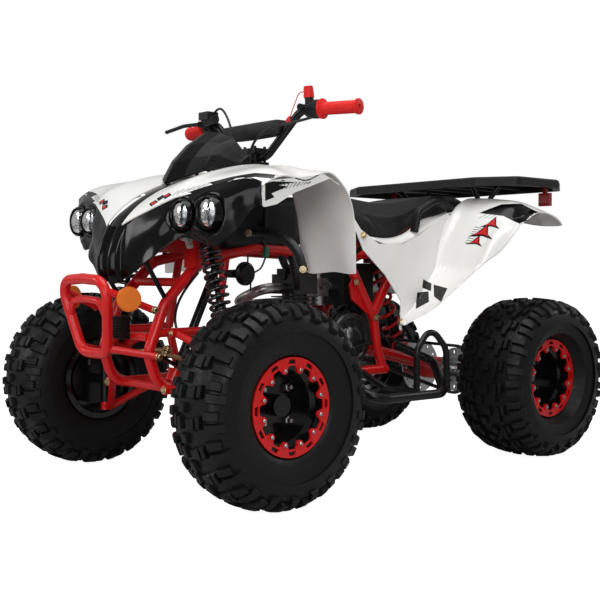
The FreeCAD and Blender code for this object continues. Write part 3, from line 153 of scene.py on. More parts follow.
def finish(name, colour, rough, metal=0.0, coat=0.0, grain=(0, 0), patches=0.12, dull=0.1, specular=0.5):
    """A surface finish. Its colour drifts by up to the share of patches with a noise of hand size, its
    roughness by up to dull with a finer one, and a noise of (size per metre, depth in mm) is its grain."""
    drift_size, speck_size = 9.0, 70.0
    material = bpy.data.materials.new(name)
    tree = new_tree(material)
    where = linked(tree, "ShaderNodeTexCoord").outputs["Object"]
    slow = linked(tree, "ShaderNodeTexNoise", Vector=where, Scale=drift_size, Detail=4.0, Roughness=0.6)
    shade = linked(tree, "ShaderNodeMapRange", i0=slow.outputs[0], i1=0.3, i2=0.7,
                   i3=1 - patches, i4=1 + patches)
    tint = linked(tree, "ShaderNodeVectorMath", {"operation": "SCALE"}, i0=colour,
                  Scale=shade.outputs[0])
    speck = linked(tree, "ShaderNodeTexNoise", Vector=where, Scale=speck_size, Detail=5.0, Roughness=0.7)
    gloss = linked(tree, "ShaderNodeMapRange", i0=speck.outputs[0], i1=0.35, i2=0.7,
                   i3=max(rough - dull, 0.02), i4=min(rough + dull, 1.0))
    shader = linked(tree, "ShaderNodeBsdfPrincipled", Base_Color=tint.outputs[0], Metallic=metal,
                    Roughness=gloss.outputs[0], Coat_Weight=coat, Coat_Roughness=0.06,
                    Specular_IOR_Level=specular)
    grain_size, grain_depth = grain
    if grain_depth:
        fine = linked(tree, "ShaderNodeTexNoise", Vector=where, Scale=float(grain_size), Detail=3.0)
        relief = linked(tree, "ShaderNodeBump", Strength=1.0, Distance=grain_depth / 1000,
                        Height=fine.outputs[0])
        tree.links.new(relief.outputs[0], shader.inputs["Normal"])
    linked(tree, "ShaderNodeOutputMaterial", Surface=shader.outputs[0])
    return material


def wear(names, material):
    """Gives CAD nodes a finish."""
    for name in names:
        nodes[name].data.materials.clear()
        nodes[name].data.materials.append(material)


red_paint = finish("red_powder_coat", (0.6, 0.005, 0.005), 0.34, coat=0.2, patches=0.06, dull=0.03,
                   specular=0.3)
wear(("frame_sides", "frame_crossings", "wishbones", "swingarm", "bumper"), red_paint)

# Satin black steel: the dampers, knuckles, stays, foot guards, bar and stem are painted steel,
# bolted to the frame or turning in its bearings.
black_steel = finish("black_satin_paint", (0.006, 0.006, 0.0065), 0.24, dull=0.06, specular=0.25)
wear(("front_dampers", "rear_damper", "knuckle_left", "knuckle_right", "fender_stays", "foot_guards",
      "handlebar", "stem", "rack_posts", "regulator", "horn", "gear_lever"), black_steel)

# Engine: die-cast cases in satin black, bolted up in the frame, with the inlet and caliper in bare
# cast alloy, the axle, sprocket and disc in machined steel and a rolled steel exhaust.
engine_black = finish("engine_black", (0.008, 0.008, 0.0085), 0.32, grain=(500, 0.12), dull=0.12)
wear(("crankcase", "engine_covers", "cylinder_head"), engine_black)
cast_alloy = finish("cast_alloy", (0.5, 0.5, 0.5), 0.38, metal=1.0, grain=(420, 0.12), dull=0.14)
wear(("intake", "brake_caliper"), cast_alloy)
machined_steel = finish("machined_steel", (0.42, 0.42, 0.43), 0.3, metal=1.0, dull=0.12)
wear(("rear_axle", "rear_sprocket", "brake_disc"), machined_steel)
pipe_steel = finish("pipe_steel", (0.32, 0.31, 0.3), 0.36, metal=1.0, patches=0.2, dull=0.14)
wear(("exhaust",), pipe_steel)
zinc = finish("yellow_zinc", (0.5, 0.4, 0.2), 0.36, metal=1.0)
wear(("tie_rod_left", "tie_rod_right"), zinc)

# Bodywork: injection-moulded plastic held by bolts and clips, glossy white outside, gloss black on
# the nose and satin on the cowl. The reflectors are moulded in clear colours; seat, grips and bar
# pad are vinyl, rubber and cloth.
white_plastic = finish("white_plastic", (0.79, 0.785, 0.765), 0.22, coat=0.2, patches=0.02, dull=0.05)
black_gloss = finish("black_gloss_plastic", (0.002, 0.002, 0.0024), 0.13, dull=0.04, specular=0.22)
cowl_black = finish("cowl_satin_plastic", (0.003, 0.003, 0.0034), 0.3, dull=0.06, specular=0.12)
black_plastic = finish("black_moulded_plastic", (0.009, 0.009, 0.0095), 0.42, grain=(1300, 0.1),
                       specular=0.25)
wear(("air_box", "grab_handles", "rack"), black_plastic)
red_lens = finish("red_reflector", (0.25, 0.006, 0.008), 0.12, coat=0.6)
wear(("reflectors",), red_lens)
amber_lens = finish("amber_reflector", (0.72, 0.16, 0.008), 0.14, coat=0.6, grain=(420, 0.5))
wear(("round_reflectors",), amber_lens)
seat_vinyl = finish("seat_vinyl", (0.009, 0.009, 0.0095), 0.48, grain=(900, 0.12), specular=0.3)
grip_rubber = finish("red_grip_rubber", (0.62, 0.012, 0.010), 0.5, specular=0.25)
pad_cloth = finish("pad_cloth", (0.008, 0.008, 0.009), 0.7, grain=(1800, 0.2))

# Body skins: each white moulding, the cowl and the controls are one smooth skin of their solid. The
# front wing dips ahead of its crest, the rear wing's outer edge runs straight to its tail, and the
# wing and the side panel run down and forwards to one narrow foot.


def joined(name):
    """A CAD node's triangles with their shared corners merged, as points and faces."""
    source = nodes[name].data
    points = np.empty(len(source.vertices) * 3)
    source.vertices.foreach_get("co", points)
    _, first, same = np.unique(np.round(points.reshape(-1, 3), 6), axis=0, return_index=True,
                               return_inverse=True)
    corners = np.empty(len(source.loops), int)
    source.loops.foreach_get("vertex_index", corners)
    faces = same.ravel()[corners].reshape(-1, 3)
    whole = (faces[:, 0] != faces[:, 1]) & (faces[:, 1] != faces[:, 2]) & (faces[:, 0] != faces[:, 2])
    return points.reshape(-1, 3)[first], faces[whole]


def bell(value, centre, spread):
    """A bell of height 1 round a centre: exp of minus the square of the distance in spreads."""
    return np.exp(-((value - centre) / spread) ** 2)


def ramp(value, start, length):
    """0 up to the start, then straight up to 1 over the length, which may run backwards."""
    return np.clip((value - start) / length, 0, 1)


def front_crest(points):
    """Near the wing's outer edge the top dips ahead of the wheel arch's crest and the arch rises."""
    x, y, z = np.abs(points[:, 0]), points[:, 1], points[:, 2]
    outer, top = ramp(x, 0.33, 0.06), ramp(z, 0.745, 0.03)
    dip, arch_rise, crest_rise = -0.024, 0.012, 0.006
    lift = bell(y, -0.42, 0.045) * (dip * top + arch_rise * (1 - top)) + bell(y, -0.335, 0.03) * crest_rise
    return points + np.stack([0 * x, 0 * x, outer * lift * (z > 0.68)], -1)


def panel_foot(points):
    """Below the seat the back edge draws forwards more than the front edge, so the foot narrows."""
    x, y, z = np.abs(points[:, 0]), points[:, 1], points[:, 2]
    front = np.interp(z, (0.42, 0.54), (0.2, 0.081))
    back = np.interp(z, (0.39, 0.54), (0.25, 0.323))
    share = ramp(y, front, back - front)
    ahead = 0.08 * ramp(z, 0.485, -0.065)
    behind = 0.145 * ramp(z, 0.56, -0.18)
    rise = 0.032 * ramp(z, 0.44, -0.08)
    return points + np.stack([0 * x, -ahead * (1 - share) - behind * share, rise], -1)


def rear_edge(points):
    """Near the wing's outer edge its low front corner rises and its back end reaches the tail."""
    x, y, z = np.abs(points[:, 0]), points[:, 1], points[:, 2]
    outer = ramp(x, 0.33, 0.06)
    rise = 0.036 * ramp(z, 0.705, -0.06) * (y < 0.5)
    back = 0.055 * ramp(y, 0.47, 0.1)
    return panel_foot(points + np.stack([0 * x, outer * back, outer * rise], -1))


def cowl_hem(points):
    """The cowl's side edges hang down to the hood."""
    x = np.abs(points[:, 0])
    return points - np.stack([0 * x, 0 * x, 0.022 * ramp(x, 0.09, 0.03)], -1)


def single_lever(points):
    """Only the right bar end has a brake lever: the left blade is drawn into its perch."""
    blade = (points[:, 0] > 0.222) & (points[:, 1] < -0.252)
    return np.where(blade[:, None], (0.222, -0.256, 0.977), points)


skins = {}
for name, slot, body, material, change in (
        ("front_fenders", "white_plastic", "chassis", white_plastic, front_crest),
        ("side_panels", "white_plastic", "chassis", white_plastic, panel_foot),
        ("rear_fenders", "white_plastic", "chassis", white_plastic, rear_edge),
        ("cowl", "black_gloss", "chassis", cowl_black, cowl_hem),
        ("hand_controls", "black_plastic", "handlebar", black_plastic, single_lever)):
    points, faces = joined(name)
    skin = shown("skin_" + name, change(points).tolist(), faces.tolist(), material, 32)
    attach(skin, body)
    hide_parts(name)
    skins[name] = skin.data

# Wheels: pressed steel rims in gloss black on four-stud hubs. Each has a red cast bead ring bolted
# round its flange.
wheel_black = finish("rim_gloss_black", (0.004, 0.004, 0.0045), 0.16, coat=0.1, dull=0.05,
                     specular=0.3)
wear(("rim_front_left", "rim_front_right", "rear_rims"), wheel_black)
wear(("ring_front_left", "ring_front_right", "rear_rings"), red_paint)

# Tyres: low-pressure rubber balloons, their beads seated in the rims, with blocks of tread moulded
# in staggered rows. The carcass is turned about the axle; the knobs stand on it with tapered sides.


def made(name, parts, material, body, smooth=None):
    """One piece from parts of points and face arrays laid one after another, in its material and on its
    body.
    """
    clouds = [part[0].reshape(-1, 3) for part in parts]
    starts = np.cumsum([0] + [len(cloud) for cloud in clouds[:-1]])
    faces = [face for start, part in zip(starts, parts) for group in part[1:]
             for face in (group + start).tolist()]
    piece = shown(name, np.concatenate(clouds).tolist(), faces, material, smooth)
    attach(piece, body)
    return piece


def lattice(grid, wrap_rows=False, wrap_columns=False):
    """Quads through a grid of points; a wrapped direction also joins its last line to its first."""
    rows, columns = grid.shape[:2]
    i, j = np.meshgrid(np.arange(rows - (not wrap_rows)), np.arange(columns - (not wrap_columns)),
                       indexing="ij")
    below, beside = (i + 1) % rows, (j + 1) % columns
    quads = np.stack([i * columns + j, below * columns + j, below * columns + beside,
                      i * columns + beside], -1)
    return grid, quads.reshape(-1, 4)


def turned(profile, centre, steps):
    """A profile of (x, radius) turned about an axle along X: each point keeps its x and goes round
    by (radius cos a, radius sin a)."""
    profile = np.asarray(profile, float)
    a = np.linspace(0, 2 * math.pi, steps, endpoint=False)[:, None]
    x = np.broadcast_to(profile[None, :, 0], (steps, len(profile)))
    grid = np.stack([x, profile[None, :, 1] * np.cos(a), profile[None, :, 1] * np.sin(a)], -1)
    return lattice(grid + np.asarray(centre), True, True)


def knobs(surface, across, size, height, count, phase, centre):
    """Tapered blocks round a tyre. A block's corners run over the tread surface, a function from
    the place across to (x, radius, tilt); its top is raised by the height and drawn in a little."""
    turn = (np.arange(count) + phase) * 2 * math.pi / count
    half_across, half_along = size[0] / 2, size[1] / 2
    s, t = np.meshgrid((-1, 0, 1), (-1, 1), indexing="ij")
    rings = []
    for lift, draw in ((-0.004, 1.06), (height * 0.8, 0.92), (height, 0.8)):
        x, radius, tilt = surface(across + s.ravel() * half_across * draw)
        x = x + np.sin(tilt) * lift
        radius = radius + np.cos(tilt) * lift
        a = turn[:, None] + t.ravel()[None, :] * half_along * draw / radius
        rings.append(np.stack([np.broadcast_to(x, a.shape), radius * np.cos(a), radius * np.sin(a)], -1))
    points = np.stack(rings, 1).reshape(count, 18, 3) + np.asarray(centre)
    loop = (0, 1, 3, 5, 4, 2)
    block = [(a + 6 * k, b + 6 * k, b + 6 * k + 6, a + 6 * k + 6)
             for k in (0, 1) for a, b in zip(loop, loop[1:] + loop[:1])]
    block += [(12, 13, 15, 14), (14, 15, 17, 16)]
    return points, (np.array(block)[None] + 18 * np.arange(count)[:, None, None]).reshape(-1, 4)


def tread_surface(half, crown, shoulder):
    """The tread's cross section: nearly flat over the crown, then a round shoulder. A place s across
    gives x, radius and the tilt of the surface, with the shoulder an arc of the given radius."""
    flat = half - shoulder
    drop = 0.006

    def at(s):
        s = np.asarray(s, float)
        side = np.sign(s)
        out = np.maximum(np.abs(s) - flat, 0)
        tilt = out / shoulder
        inner = np.minimum(np.abs(s), flat)
        x = side * (inner + shoulder * np.sin(tilt))
        radius = crown - drop * (inner / flat) ** 2 - shoulder * (1 - np.cos(tilt))
        return x, radius, side * (tilt + 2 * drop * inner / flat ** 2 * (tilt < 1e-9))
    return at


def tyre_parts(centre, radius, width, rim_half):
    """Carcass and knob rows of one tyre. The carcass follows the tread, then the side wall down to
    the rim's flange, and turns inwards into its bead."""
    knob, shoulder, flange, pitches = 0.0105, 0.042, 0.1135, 22
    half = width / 2
    edge = half - shoulder
    at = tread_surface(half, radius - knob, shoulder)
    x, r, _ = at(np.linspace(0, edge + shoulder * 1.25, 16))
    low_x, low_r = x[-1], r[-1]
    wall = [(low_x + 0.0045, low_r - 0.014), (low_x + 0.007, low_r - 0.028), (half, 0.172),
            (half - 0.0025, 0.152), (half - 0.010, 0.134), (rim_half + 0.0075, 0.122),
            (rim_half + 0.0015, 0.1165), (rim_half - 0.0065, flange)]
    inner = [(rim_half - 0.0075, 0.1022), (rim_half - 0.018, 0.1022), (rim_half - 0.018, 0.116),
             (half - 0.012, 0.16), (half - 0.030, radius - 0.034)]
    right = list(zip(x, r)) + wall + inner
    left = [(-a, b) for a, b in right[1:]][::-1]
    parts = [turned(left + right, centre, 120)]
    for side in (-1, 1):
        rows = [(edge + 0.022, (0.034, 0.021), knob, 0.0), (edge + 0.030, (0.046, 0.022), knob * 0.9, 0.42),
                (edge - 0.010, (0.012, 0.030), knob, 0.24), (edge - 0.026, (0.012, 0.030), knob, 0.30),
                (0.012, (0.019, 0.024), knob, 0.06 + 0.25 * side)]
        if half > 0.1:
            rows.append((0.040, (0.014, 0.030), knob, 0.62))
        parts += [knobs(at, side * across, size, height, pitches, phase, centre)
                  for across, size, height, phase in rows]
    return parts


tyre_rubber = finish("tyre_rubber", (0.0042, 0.0044, 0.0048), 0.46, grain=(650, 0.14), patches=0.25,
                     dull=0.14, specular=0.22)
# A wheel's radius is the height of its hub above the floor.
front_hub = joint_places["front_wheel_left_spin"]
rear_hub = (0.366, *joint_places["rear_axle_spin"][1:])
front_width, rear_width = 0.180, 0.226
front_rim_half, rear_rim_half = 0.069, 0.068
for side, hand in ((1, "left"), (-1, "right")):
    parts = tyre_parts((side * front_hub[0], *front_hub[1:]), front_hub[2], front_width, front_rim_half)
    tyre = made("tread_front_" + hand, parts, tyre_rubber, "wheel_front_" + hand, 40)
    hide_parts("tyre_front_" + hand)
rear_pair = []
for side in (1, -1):
    rear_pair += tyre_parts((side * rear_hub[0], *rear_hub[1:]), rear_hub[2], rear_width, rear_rim_half)
tyre = made("tread_rear", rear_pair, tyre_rubber, "rear_axle", 40)
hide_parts("rear_tyres")

# Springs: round steel wire wound in a helix, held under load between the two seats of each damper,
# black in front and red behind.


def coil(top, bottom, radius, wire, turns):
    """A wire along a helix from top to bottom. Its axis runs between the two points; the wire's
    centre goes round it at the radius, closer wound over the first and last turn."""
    top, bottom = np.asarray(top, float), np.asarray(bottom, float)
    axis = (bottom - top) / np.linalg.norm(bottom - top)
    side = np.cross(axis, (0, 1, 0))
    side = side / np.linalg.norm(side)
    front = np.cross(axis, side)
    t = np.linspace(0, 1, int(turns * 26))
    share = 0.75 * t + 0.25 * (0.5 - 0.5 * np.cos(math.pi * t))
    a = 2 * math.pi * turns * t
    run = np.linalg.norm(bottom - top) - 2 * wire
    spine = top + axis * (wire + share[:, None] * run) + radius * (
        np.cos(a)[:, None] * side + np.sin(a)[:, None] * front)
    return pipe(spine, wire)


def capped(grid, ends):
    """A tube through a grid of rings, closed at each end by a fan of triangles to an end point. The
    rings run anticlockwise about the way from the first to the last."""
    points, quads = lattice(grid, False, True)
    points = points.reshape(-1, 3)
    count, sides = len(points), grid.shape[1]
    k = np.arange(sides)
    after = (k + 1) % sides
    head = np.stack([np.full(sides, count), after, k], -1)
    tail = np.stack([np.full(sides, count + 1), count - sides + k, count - sides + after], -1)
    return np.concatenate([points, ends]), quads[:, ::-1], head, tail


def pipe(spine, radius, sides=10):
    """A round tube along a line of points. Each ring lies square to the line, and its first
    direction is carried on from the ring before by removing what points along the line."""
    spine = np.asarray(spine, float)
    along = np.gradient(spine, axis=0)
    along /= np.linalg.norm(along, axis=1)[:, None]
    up = np.empty_like(along)
    first = np.cross(along[0], (0.31, 0.47, 0.83))
    for k, direction in enumerate(along):
        first = first - direction * np.dot(first, direction)
        first /= np.linalg.norm(first)
        up[k] = first
    across = np.cross(along, up)
    a = np.linspace(0, 2 * math.pi, sides, endpoint=False)
    ring = up[:, None] * np.cos(a)[None, :, None] + across[:, None] * np.sin(a)[None, :, None]
    return capped(spine[:, None] + ring * radius, spine[[0, -1]])


spring_black = finish("spring_black", (0.008, 0.008, 0.009), 0.2, coat=0.4, dull=0.06)
shock_foot = np.array((0.246, -0.525, 0.369))
shock_top = np.array((0.168, -0.525, 0.640))
down = (shock_foot - shock_top) / np.linalg.norm(shock_foot - shock_top)
top_seat, foot_seat = 0.0285, 0.0445
spring_ends = np.array((shock_top + down * top_seat, shock_foot - down * foot_seat))
springs = [coil(*(spring_ends * (side, 1, 1)), 0.0235, 0.0046, 11.5) for side in (1, -1)]
front_springs = made("coil_springs_front", springs, spring_black, "chassis", 60)
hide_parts("front_springs")
rear_foot = np.array((0, 0.345, 0.2858))
rear_top = np.array((0, 0.215, 0.588))
down = (rear_foot - rear_top) / np.linalg.norm(rear_foot - rear_top)
rear_coil = coil(rear_top + down * top_seat, rear_foot - down * foot_seat, 0.026, 0.0055, 7)
rear_spring = made("coil_spring_rear", [rear_coil], red_paint, "chassis", 60)
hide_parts("rear_spring")

# Bolts: yellow zinc hexagon heads on round washers, where the arms, dampers, engine and side
# panels are held to the frame.


def spun(profile, origin, axis, steps=24):
    """A profile of (distance along the axis, radius) turned about the axis, closed at its ends."""
    origin, axis = np.asarray(origin, float), np.asarray(axis, float)
    axis = axis / np.linalg.norm(axis)
    side = np.cross(axis, (0.31, 0.47, 0.83))
    side /= np.linalg.norm(side)
    front = np.cross(axis, side)
    profile = np.asarray(profile, float)
    a = np.linspace(0, 2 * math.pi, steps, endpoint=False)
    ring = np.cos(a)[:, None] * side + np.sin(a)[:, None] * front
    grid = origin + profile[:, None, :1] * axis + profile[:, None, 1:] * ring[None]
    return capped(grid, origin + profile[[0, -1], :1] * axis)


def bolt(place, axis, size=0.0065):
    """A washer and a hexagon head that stands on a surface."""
    axis = np.asarray(axis, float) / np.linalg.norm(axis)
    washer = spun([(-0.001, size * 1.5), (0.0012, size * 1.5), (0.0016, size * 1.4)], place, axis, 16)
    head = spun([(0.001, size), (0.0052, size), (0.0062, size * 0.82)], place, axis, 6)
    return [washer, head]


def mirror_points(parts):
    """The same parts on the other side, their faces turned so that they still point outwards."""
    return [(part[0] * (-1, 1, 1), *[faces[:, ::-1] for faces in part[1:]]) for part in parts]


def mirrored(name, parts, material, body, smooth=None):
    """One piece from parts on the left and the same parts on the right."""
    return made(name, parts + mirror_points(parts), material, body, smooth)


bolt_zinc = finish("bolt_zinc", (0.62, 0.5, 0.3), 0.3, metal=1.0)
frame_bolts = []
for place, axis in (((0.1395, -0.662, 0.458), (1, 0, 0)), ((0.1415, -0.652, 0.345), (1, 0, 0)),
                    ((0.131, -0.612, 0.400), (0, -1, 0)), ((0.131, -0.482, 0.400), (0, -1, 0)),
                    ((0.131, -0.632, 0.262), (0, -1, 0)), ((0.131, -0.472, 0.262), (0, -1, 0)),
                    ((0.168, -0.5425, 0.640), (0, -1, 0)), ((0.246, -0.5433, 0.369), (0, -1, 0)),
                    ((0.176, 0.010, 0.652), (1, 0, 0.17)), ((0.2215, 0.117, 0.407), (1, 0, 0.17)),
                    ((0.120, 0.118, 0.415), (1, 0, 0)), ((0.120, 0.036, 0.52), (1, 0, 0))):
    frame_bolts += bolt(place, axis)
mirrored("frame_bolts", frame_bolts, bolt_zinc, "chassis", 30)

# Wheel fastenings: a steel bolt through each of the bead ring's lobes into the rim's flange, and a
# nut on each of the hub's studs.
ring_bolt = [(-0.004, 0.0046), (0.003, 0.0046), (0.0042, 0.0036)]
stud_nut = [(-0.006, 0.0105), (0.003, 0.0105), (0.005, 0.0075), (0.012, 0.0052)]
front_dish, rear_dish = 0.062, 0.088
for body, sides, hub, half, dish in (("wheel_front_left", (1,), front_hub, front_rim_half, front_dish),
                                     ("wheel_front_right", (-1,), front_hub, front_rim_half, front_dish),
                                     ("rear_axle", (1, -1), rear_hub, rear_rim_half, rear_dish)):
    parts = []
    for side in sides:
        for count, circle, out, profile in ((12, 0.087, half + 0.0068, ring_bolt),
                                            (4, 0.055, half - dish + 0.007, stud_nut)):
            for k in range(count):
                a = 2 * math.pi * (k + 0.5) / count
                place = (side * (hub[0] + out), hub[1] + circle * math.sin(a),
                         hub[2] - circle * math.cos(a))
                parts.append(spun(profile, place, (side, 0, 0), 6))
    made("wheel_nuts_" + body, parts, machined_steel, body, 30)

# Nose: a gloss black moulding under the hood's lip, drawn back into a bowl round each headlamp,
# with a raised bar down its middle and upright grille ribs. It is clipped under the hood.
wall = 0.003


def flow(points, count):
    """A smooth line through points: between two of them a cubic whose slope at each is half the
    step between its neighbours."""
    points = np.asarray(points, float)
    points = np.concatenate([2 * points[:1] - points[1:2], points, 2 * points[-1:] - points[-2:-1]])
    t = np.linspace(0, len(points) - 3, count)
    k = np.minimum(t.astype(int), len(points) - 4)
    f = (t - k).reshape(-1, *[1] * (points.ndim - 1))
    a, b, c, d = (points[k + n] for n in range(4))
    return b + 0.5 * ((c - a) * f + (2 * a - 5 * b + 4 * c - d) * f ** 2 + (3 * b - a - 3 * c + d) * f ** 3)


def sheeted(name, grid, material, smooth=40):
    """A moulding from a grid of points on its outer skin, given its wall behind that skin by a
    Solidify modifier."""
    piece = made(name, [lattice(grid)], material, "chassis", smooth)
    solid = piece.modifiers.new("wall", "SOLIDIFY")
    solid.thickness = wall
    solid.offset = -1.0
    return piece


# Each lamp is the middle (x, y, z) of its lens and the radii of lens and bowl. Each station of the
# nose is its x, then (y, z) at four places from the hood's lip to the lower edge, in millimetres.
lamps = ((0.298, -0.606, 0.687, 0.0345, 0.056), (0.213, -0.622, 0.685, 0.0315, 0.046))
nose_stations = np.array([
    (0, -676, 660, -692, 612, -697, 570, -698, 528), (20, -688, 666, -712, 612, -719, 570, -712, 522),
    (38, -681, 669, -705, 616, -712, 570, -704, 522), (46, -676, 672, -692, 620, -698, 572, -694, 530),
    (72, -668, 684, -684, 628, -690, 580, -690, 540), (110, -653, 702, -672, 645, -676, 600, -680, 564),
    (150, -638, 720, -658, 668, -662, 626, -672, 586), (185, -625, 730, -642, 690, -640, 655, -648, 618),
    (215, -614, 738, -634, 700, -634, 665, -622, 632), (255, -600, 748, -628, 705, -628, 660, -604, 618),
    (300, -583, 757, -620, 712, -618, 655, -598, 611), (345, -567, 764, -592, 728, -590, 685, -582, 640),
    (380, -556, 765, -567, 742, -566, 714, -561, 688),
    (411, -551, 757, -552, 742, -552, 722, -551, 703)]) / 1000
nose = np.concatenate([nose_stations[:, :1].repeat(4, 1)[..., None],
                       nose_stations[:, 1:].reshape(-1, 4, 2)], -1)
nose = flow(np.array([flow(line, 46) for line in nose]), 150)
for x, y, z, lens, bowl in lamps:
    reach = np.hypot(nose[..., 0] - x, nose[..., 2] - z)
    share = ramp(reach, bowl, lens - bowl)
    share = share * share * (3 - 2 * share)
    nose[..., 1] += (np.maximum(y + 0.006, nose[..., 1]) - nose[..., 1]) * share
nose = np.concatenate([nose[:0:-1] * (-1, 1, 1), nose])
mask = sheeted("nose_moulding", nose, black_gloss, 50)
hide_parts("nose_mask", "lamp_bowls")
bar_line = flow([(0, -0.690, 0.664), (0, -0.650, 0.707), (0, -0.560, 0.762), (0, -0.420, 0.802),
                 (0, -0.300, 0.806)], 60)
bar_half, bar_fall = 0.041, 0.010
span = np.linspace(-1, 1, 15)
centre_bar = bar_line[:, None] + np.stack([span * bar_half, 0 * span, -bar_fall * span ** 2 - 0.001], -1)
sheeted("hood_centre_bar", centre_bar[:, ::-1], black_gloss)
rib_start, rib_step, rib_radius = 0.060, 0.0125, 0.0022
ribs = []
for k in range(7):
    x = rib_start + rib_step * k
    column = nose[np.argmin(np.abs(nose[:, 0, 0] - x))]
    low, high = 0.612 + 0.0045 * k, 0.650 + 0.0055 * k
    spine = column[(column[:, 2] > low) & (column[:, 2] < high)]
    ribs.append(pipe(spine + (0, -0.0005, 0), rib_radius, 6))
mirrored("grille_ribs", ribs, black_gloss, "chassis", 40)

# Headlamps: a chromed faceted reflector and a glass bulb behind each clear domed lens, all pressed
# into the nose's bowl and held by a thin black bezel.
glass = bpy.data.materials.new("clear_lens")
tree = new_tree(glass)
where = linked(tree, "ShaderNodeTexCoord").outputs["Object"]
cells = linked(tree, "ShaderNodeTexVoronoi", Vector=where, Scale=120.0)
ripple = linked(tree, "ShaderNodeBump", Strength=0.5, Distance=0.0012, Height=cells.outputs[0])
shader = linked(tree, "ShaderNodeBsdfPrincipled", Base_Color=(0.93, 0.95, 0.97, 1), Roughness=0.03,
                Transmission_Weight=1.0, IOR=1.3, Normal=ripple.outputs[0])
linked(tree, "ShaderNodeOutputMaterial", Surface=shader.outputs[0])
chrome = finish("lamp_chrome", (0.62, 0.63, 0.64), 0.07, metal=1.0, patches=0.3, dull=0.03)
bulb_white = finish("bulb_glass", (0.8, 0.8, 0.78), 0.1)
bowls, bulbs, lenses, bezels = [], [], [], []
for x, y, z, r, _ in lamps:
    place = (x, y, z)
    depth = np.linspace(1, 0.02, 7)
    cup = [(0.004 - 0.016 * d ** 2, r * 0.97 * d) for d in depth]
    bowls.append(spun(cup + [(0.0045, 0.0005)], place, (0, 1, 0), 18))
    bulbs.append(spun([(-0.0128, 0.001), (-0.012, 0.004), (-0.010, 0.006), (0.002, 0.006)], place,
                      (0, 1, 0), 12))
    # The lens runs from its back to its front, so its faces look inwards and it bends light the other
    # way, which keeps the reflector and the bulb in sight.
    dome = [(-0.0145, r), (-0.0165, r * 0.985), (-0.0205, r * 0.85), (-0.0235, r * 0.6),
            (-0.0248, r * 0.3), (-0.0252, r * 0.02)]
    lenses.append(spun([(-0.0135, r * 0.02), (-0.0135, r * 0.99)] + dome, place, (0, 1, 0), 32))
    ring, quads = turned([(0, r + 0.006), (0.016, r + 0.006), (0.0215, r + 0.0022), (0.020, r), (0, r)],
                         (0, 0, 0), 40)
    bezels.append((np.stack([ring[..., 1], -ring[..., 0], ring[..., 2]], -1) + place, quads))
mirrored("lamp_reflectors", bowls, chrome, "chassis")
mirrored("lamp_bulbs", bulbs, bulb_white, "chassis", 40)
clear = mirrored("lamp_domes", lenses, glass, "chassis", 60)
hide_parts("lamp_lenses")
mirrored("lamp_bezels", bezels, black_gloss, "chassis", 40)

# Graphics: printed vinyl film stuck on the white panels, in black, red and grey, without words,
# and a glossy black insert in each side of the tail.


def film(outline, outward, skin, thick=0.0006, step=0.007, cast=False):
    """Closed film on a panel. An outline of points near the panel is filled with a fine grid in the
    plane square to the outward direction, every point is moved to the nearest point of the panel's
    skin, or cast on it along the direction, and the film runs from just under to just over it."""
    clear, far, under, missed = 0.012, 0.2, 0.0012, 9
    outline = np.asarray(outline, float)
    outward = np.asarray(outward, float) / np.linalg.norm(outward)
    u = np.cross(outward, (0.02, 0.03, 1.0))
    u /= np.linalg.norm(u)
    v = np.cross(outward, u)
    closed = np.concatenate([outline, outline[:1]])
    counts = np.maximum(np.ceil(np.linalg.norm(np.diff(closed, axis=0), axis=1) / step), 1).astype(int)
    edge = np.concatenate([a + (b - a) * np.linspace(0, 1, n, endpoint=False)[:, None]
                           for a, b, n in zip(closed, closed[1:], counts)])
    flat = np.stack([edge @ u, edge @ v], -1)
    low, high = flat.min(0), flat.max(0)
    grid = np.stack(np.meshgrid(*[np.arange(a + step / 2, b, step) for a, b in zip(low, high)]), -1)
    ring = len(flat)
    points, _, faces, *_ = geometry.delaunay_2d_cdt(
        [Vector(q) for q in np.concatenate([flat, grid.reshape(-1, 2)])], [], [list(range(ring))], 1, 1e-5)
    points = np.array(points)
    depth = edge @ outward
    fit = np.linalg.lstsq(np.c_[flat, np.ones(ring)], depth, rcond=None)[0]
    level = np.c_[points, np.ones(len(points))] @ fit + clear
    above = points[:, :1] * u + points[:, 1:] * v + level[:, None] * outward
    hits = [skin.ray_cast(q + far * outward, -outward) if cast else skin.find_nearest(q) for q in above]
    foot = np.array([hit[0] if hit[0] else (missed, missed, missed) for hit in hits])
    rise = np.array([hit[1] if hit[0] else outward for hit in hits])
    rise *= np.sign(rise @ outward)[:, None]
    faces = np.array([face for face in faces if len(face) == 3 and foot[face].max() < missed])
    used, faces = np.unique(faces, return_inverse=True)
    faces = faces.reshape(-1, 3)
    foot, rise, points = foot[used], rise[used], points[used]
    a, b, c = (foot[faces[:, k]] for k in range(3))
    wrong = np.cross(b - a, c - a) @ outward < 0
    faces[wrong] = faces[wrong][:, ::-1]
    sides = np.concatenate([faces[:, [0, 1]], faces[:, [1, 2]], faces[:, [2, 0]]])
    there = {tuple(side) for side in sides.tolist()}
    rim = np.array([side for side in sides.tolist() if (side[1], side[0]) not in there])
    n = len(points)
    rim_wall = np.stack([rim[:, 1], rim[:, 0], rim[:, 0] + n, rim[:, 1] + n], -1)
    return np.concatenate([foot + rise * thick, foot - rise * under]), faces, faces[:, ::-1] + n, rim_wall


def stroke(a, b, width, outward, skin):
    """A straight printed line from a to b, as a narrow strip of film."""
    side = np.cross(outward, b - a)
    side *= width / 2 / np.linalg.norm(side)
    return film([a - side, b - side, b + side, a + side], outward, skin)


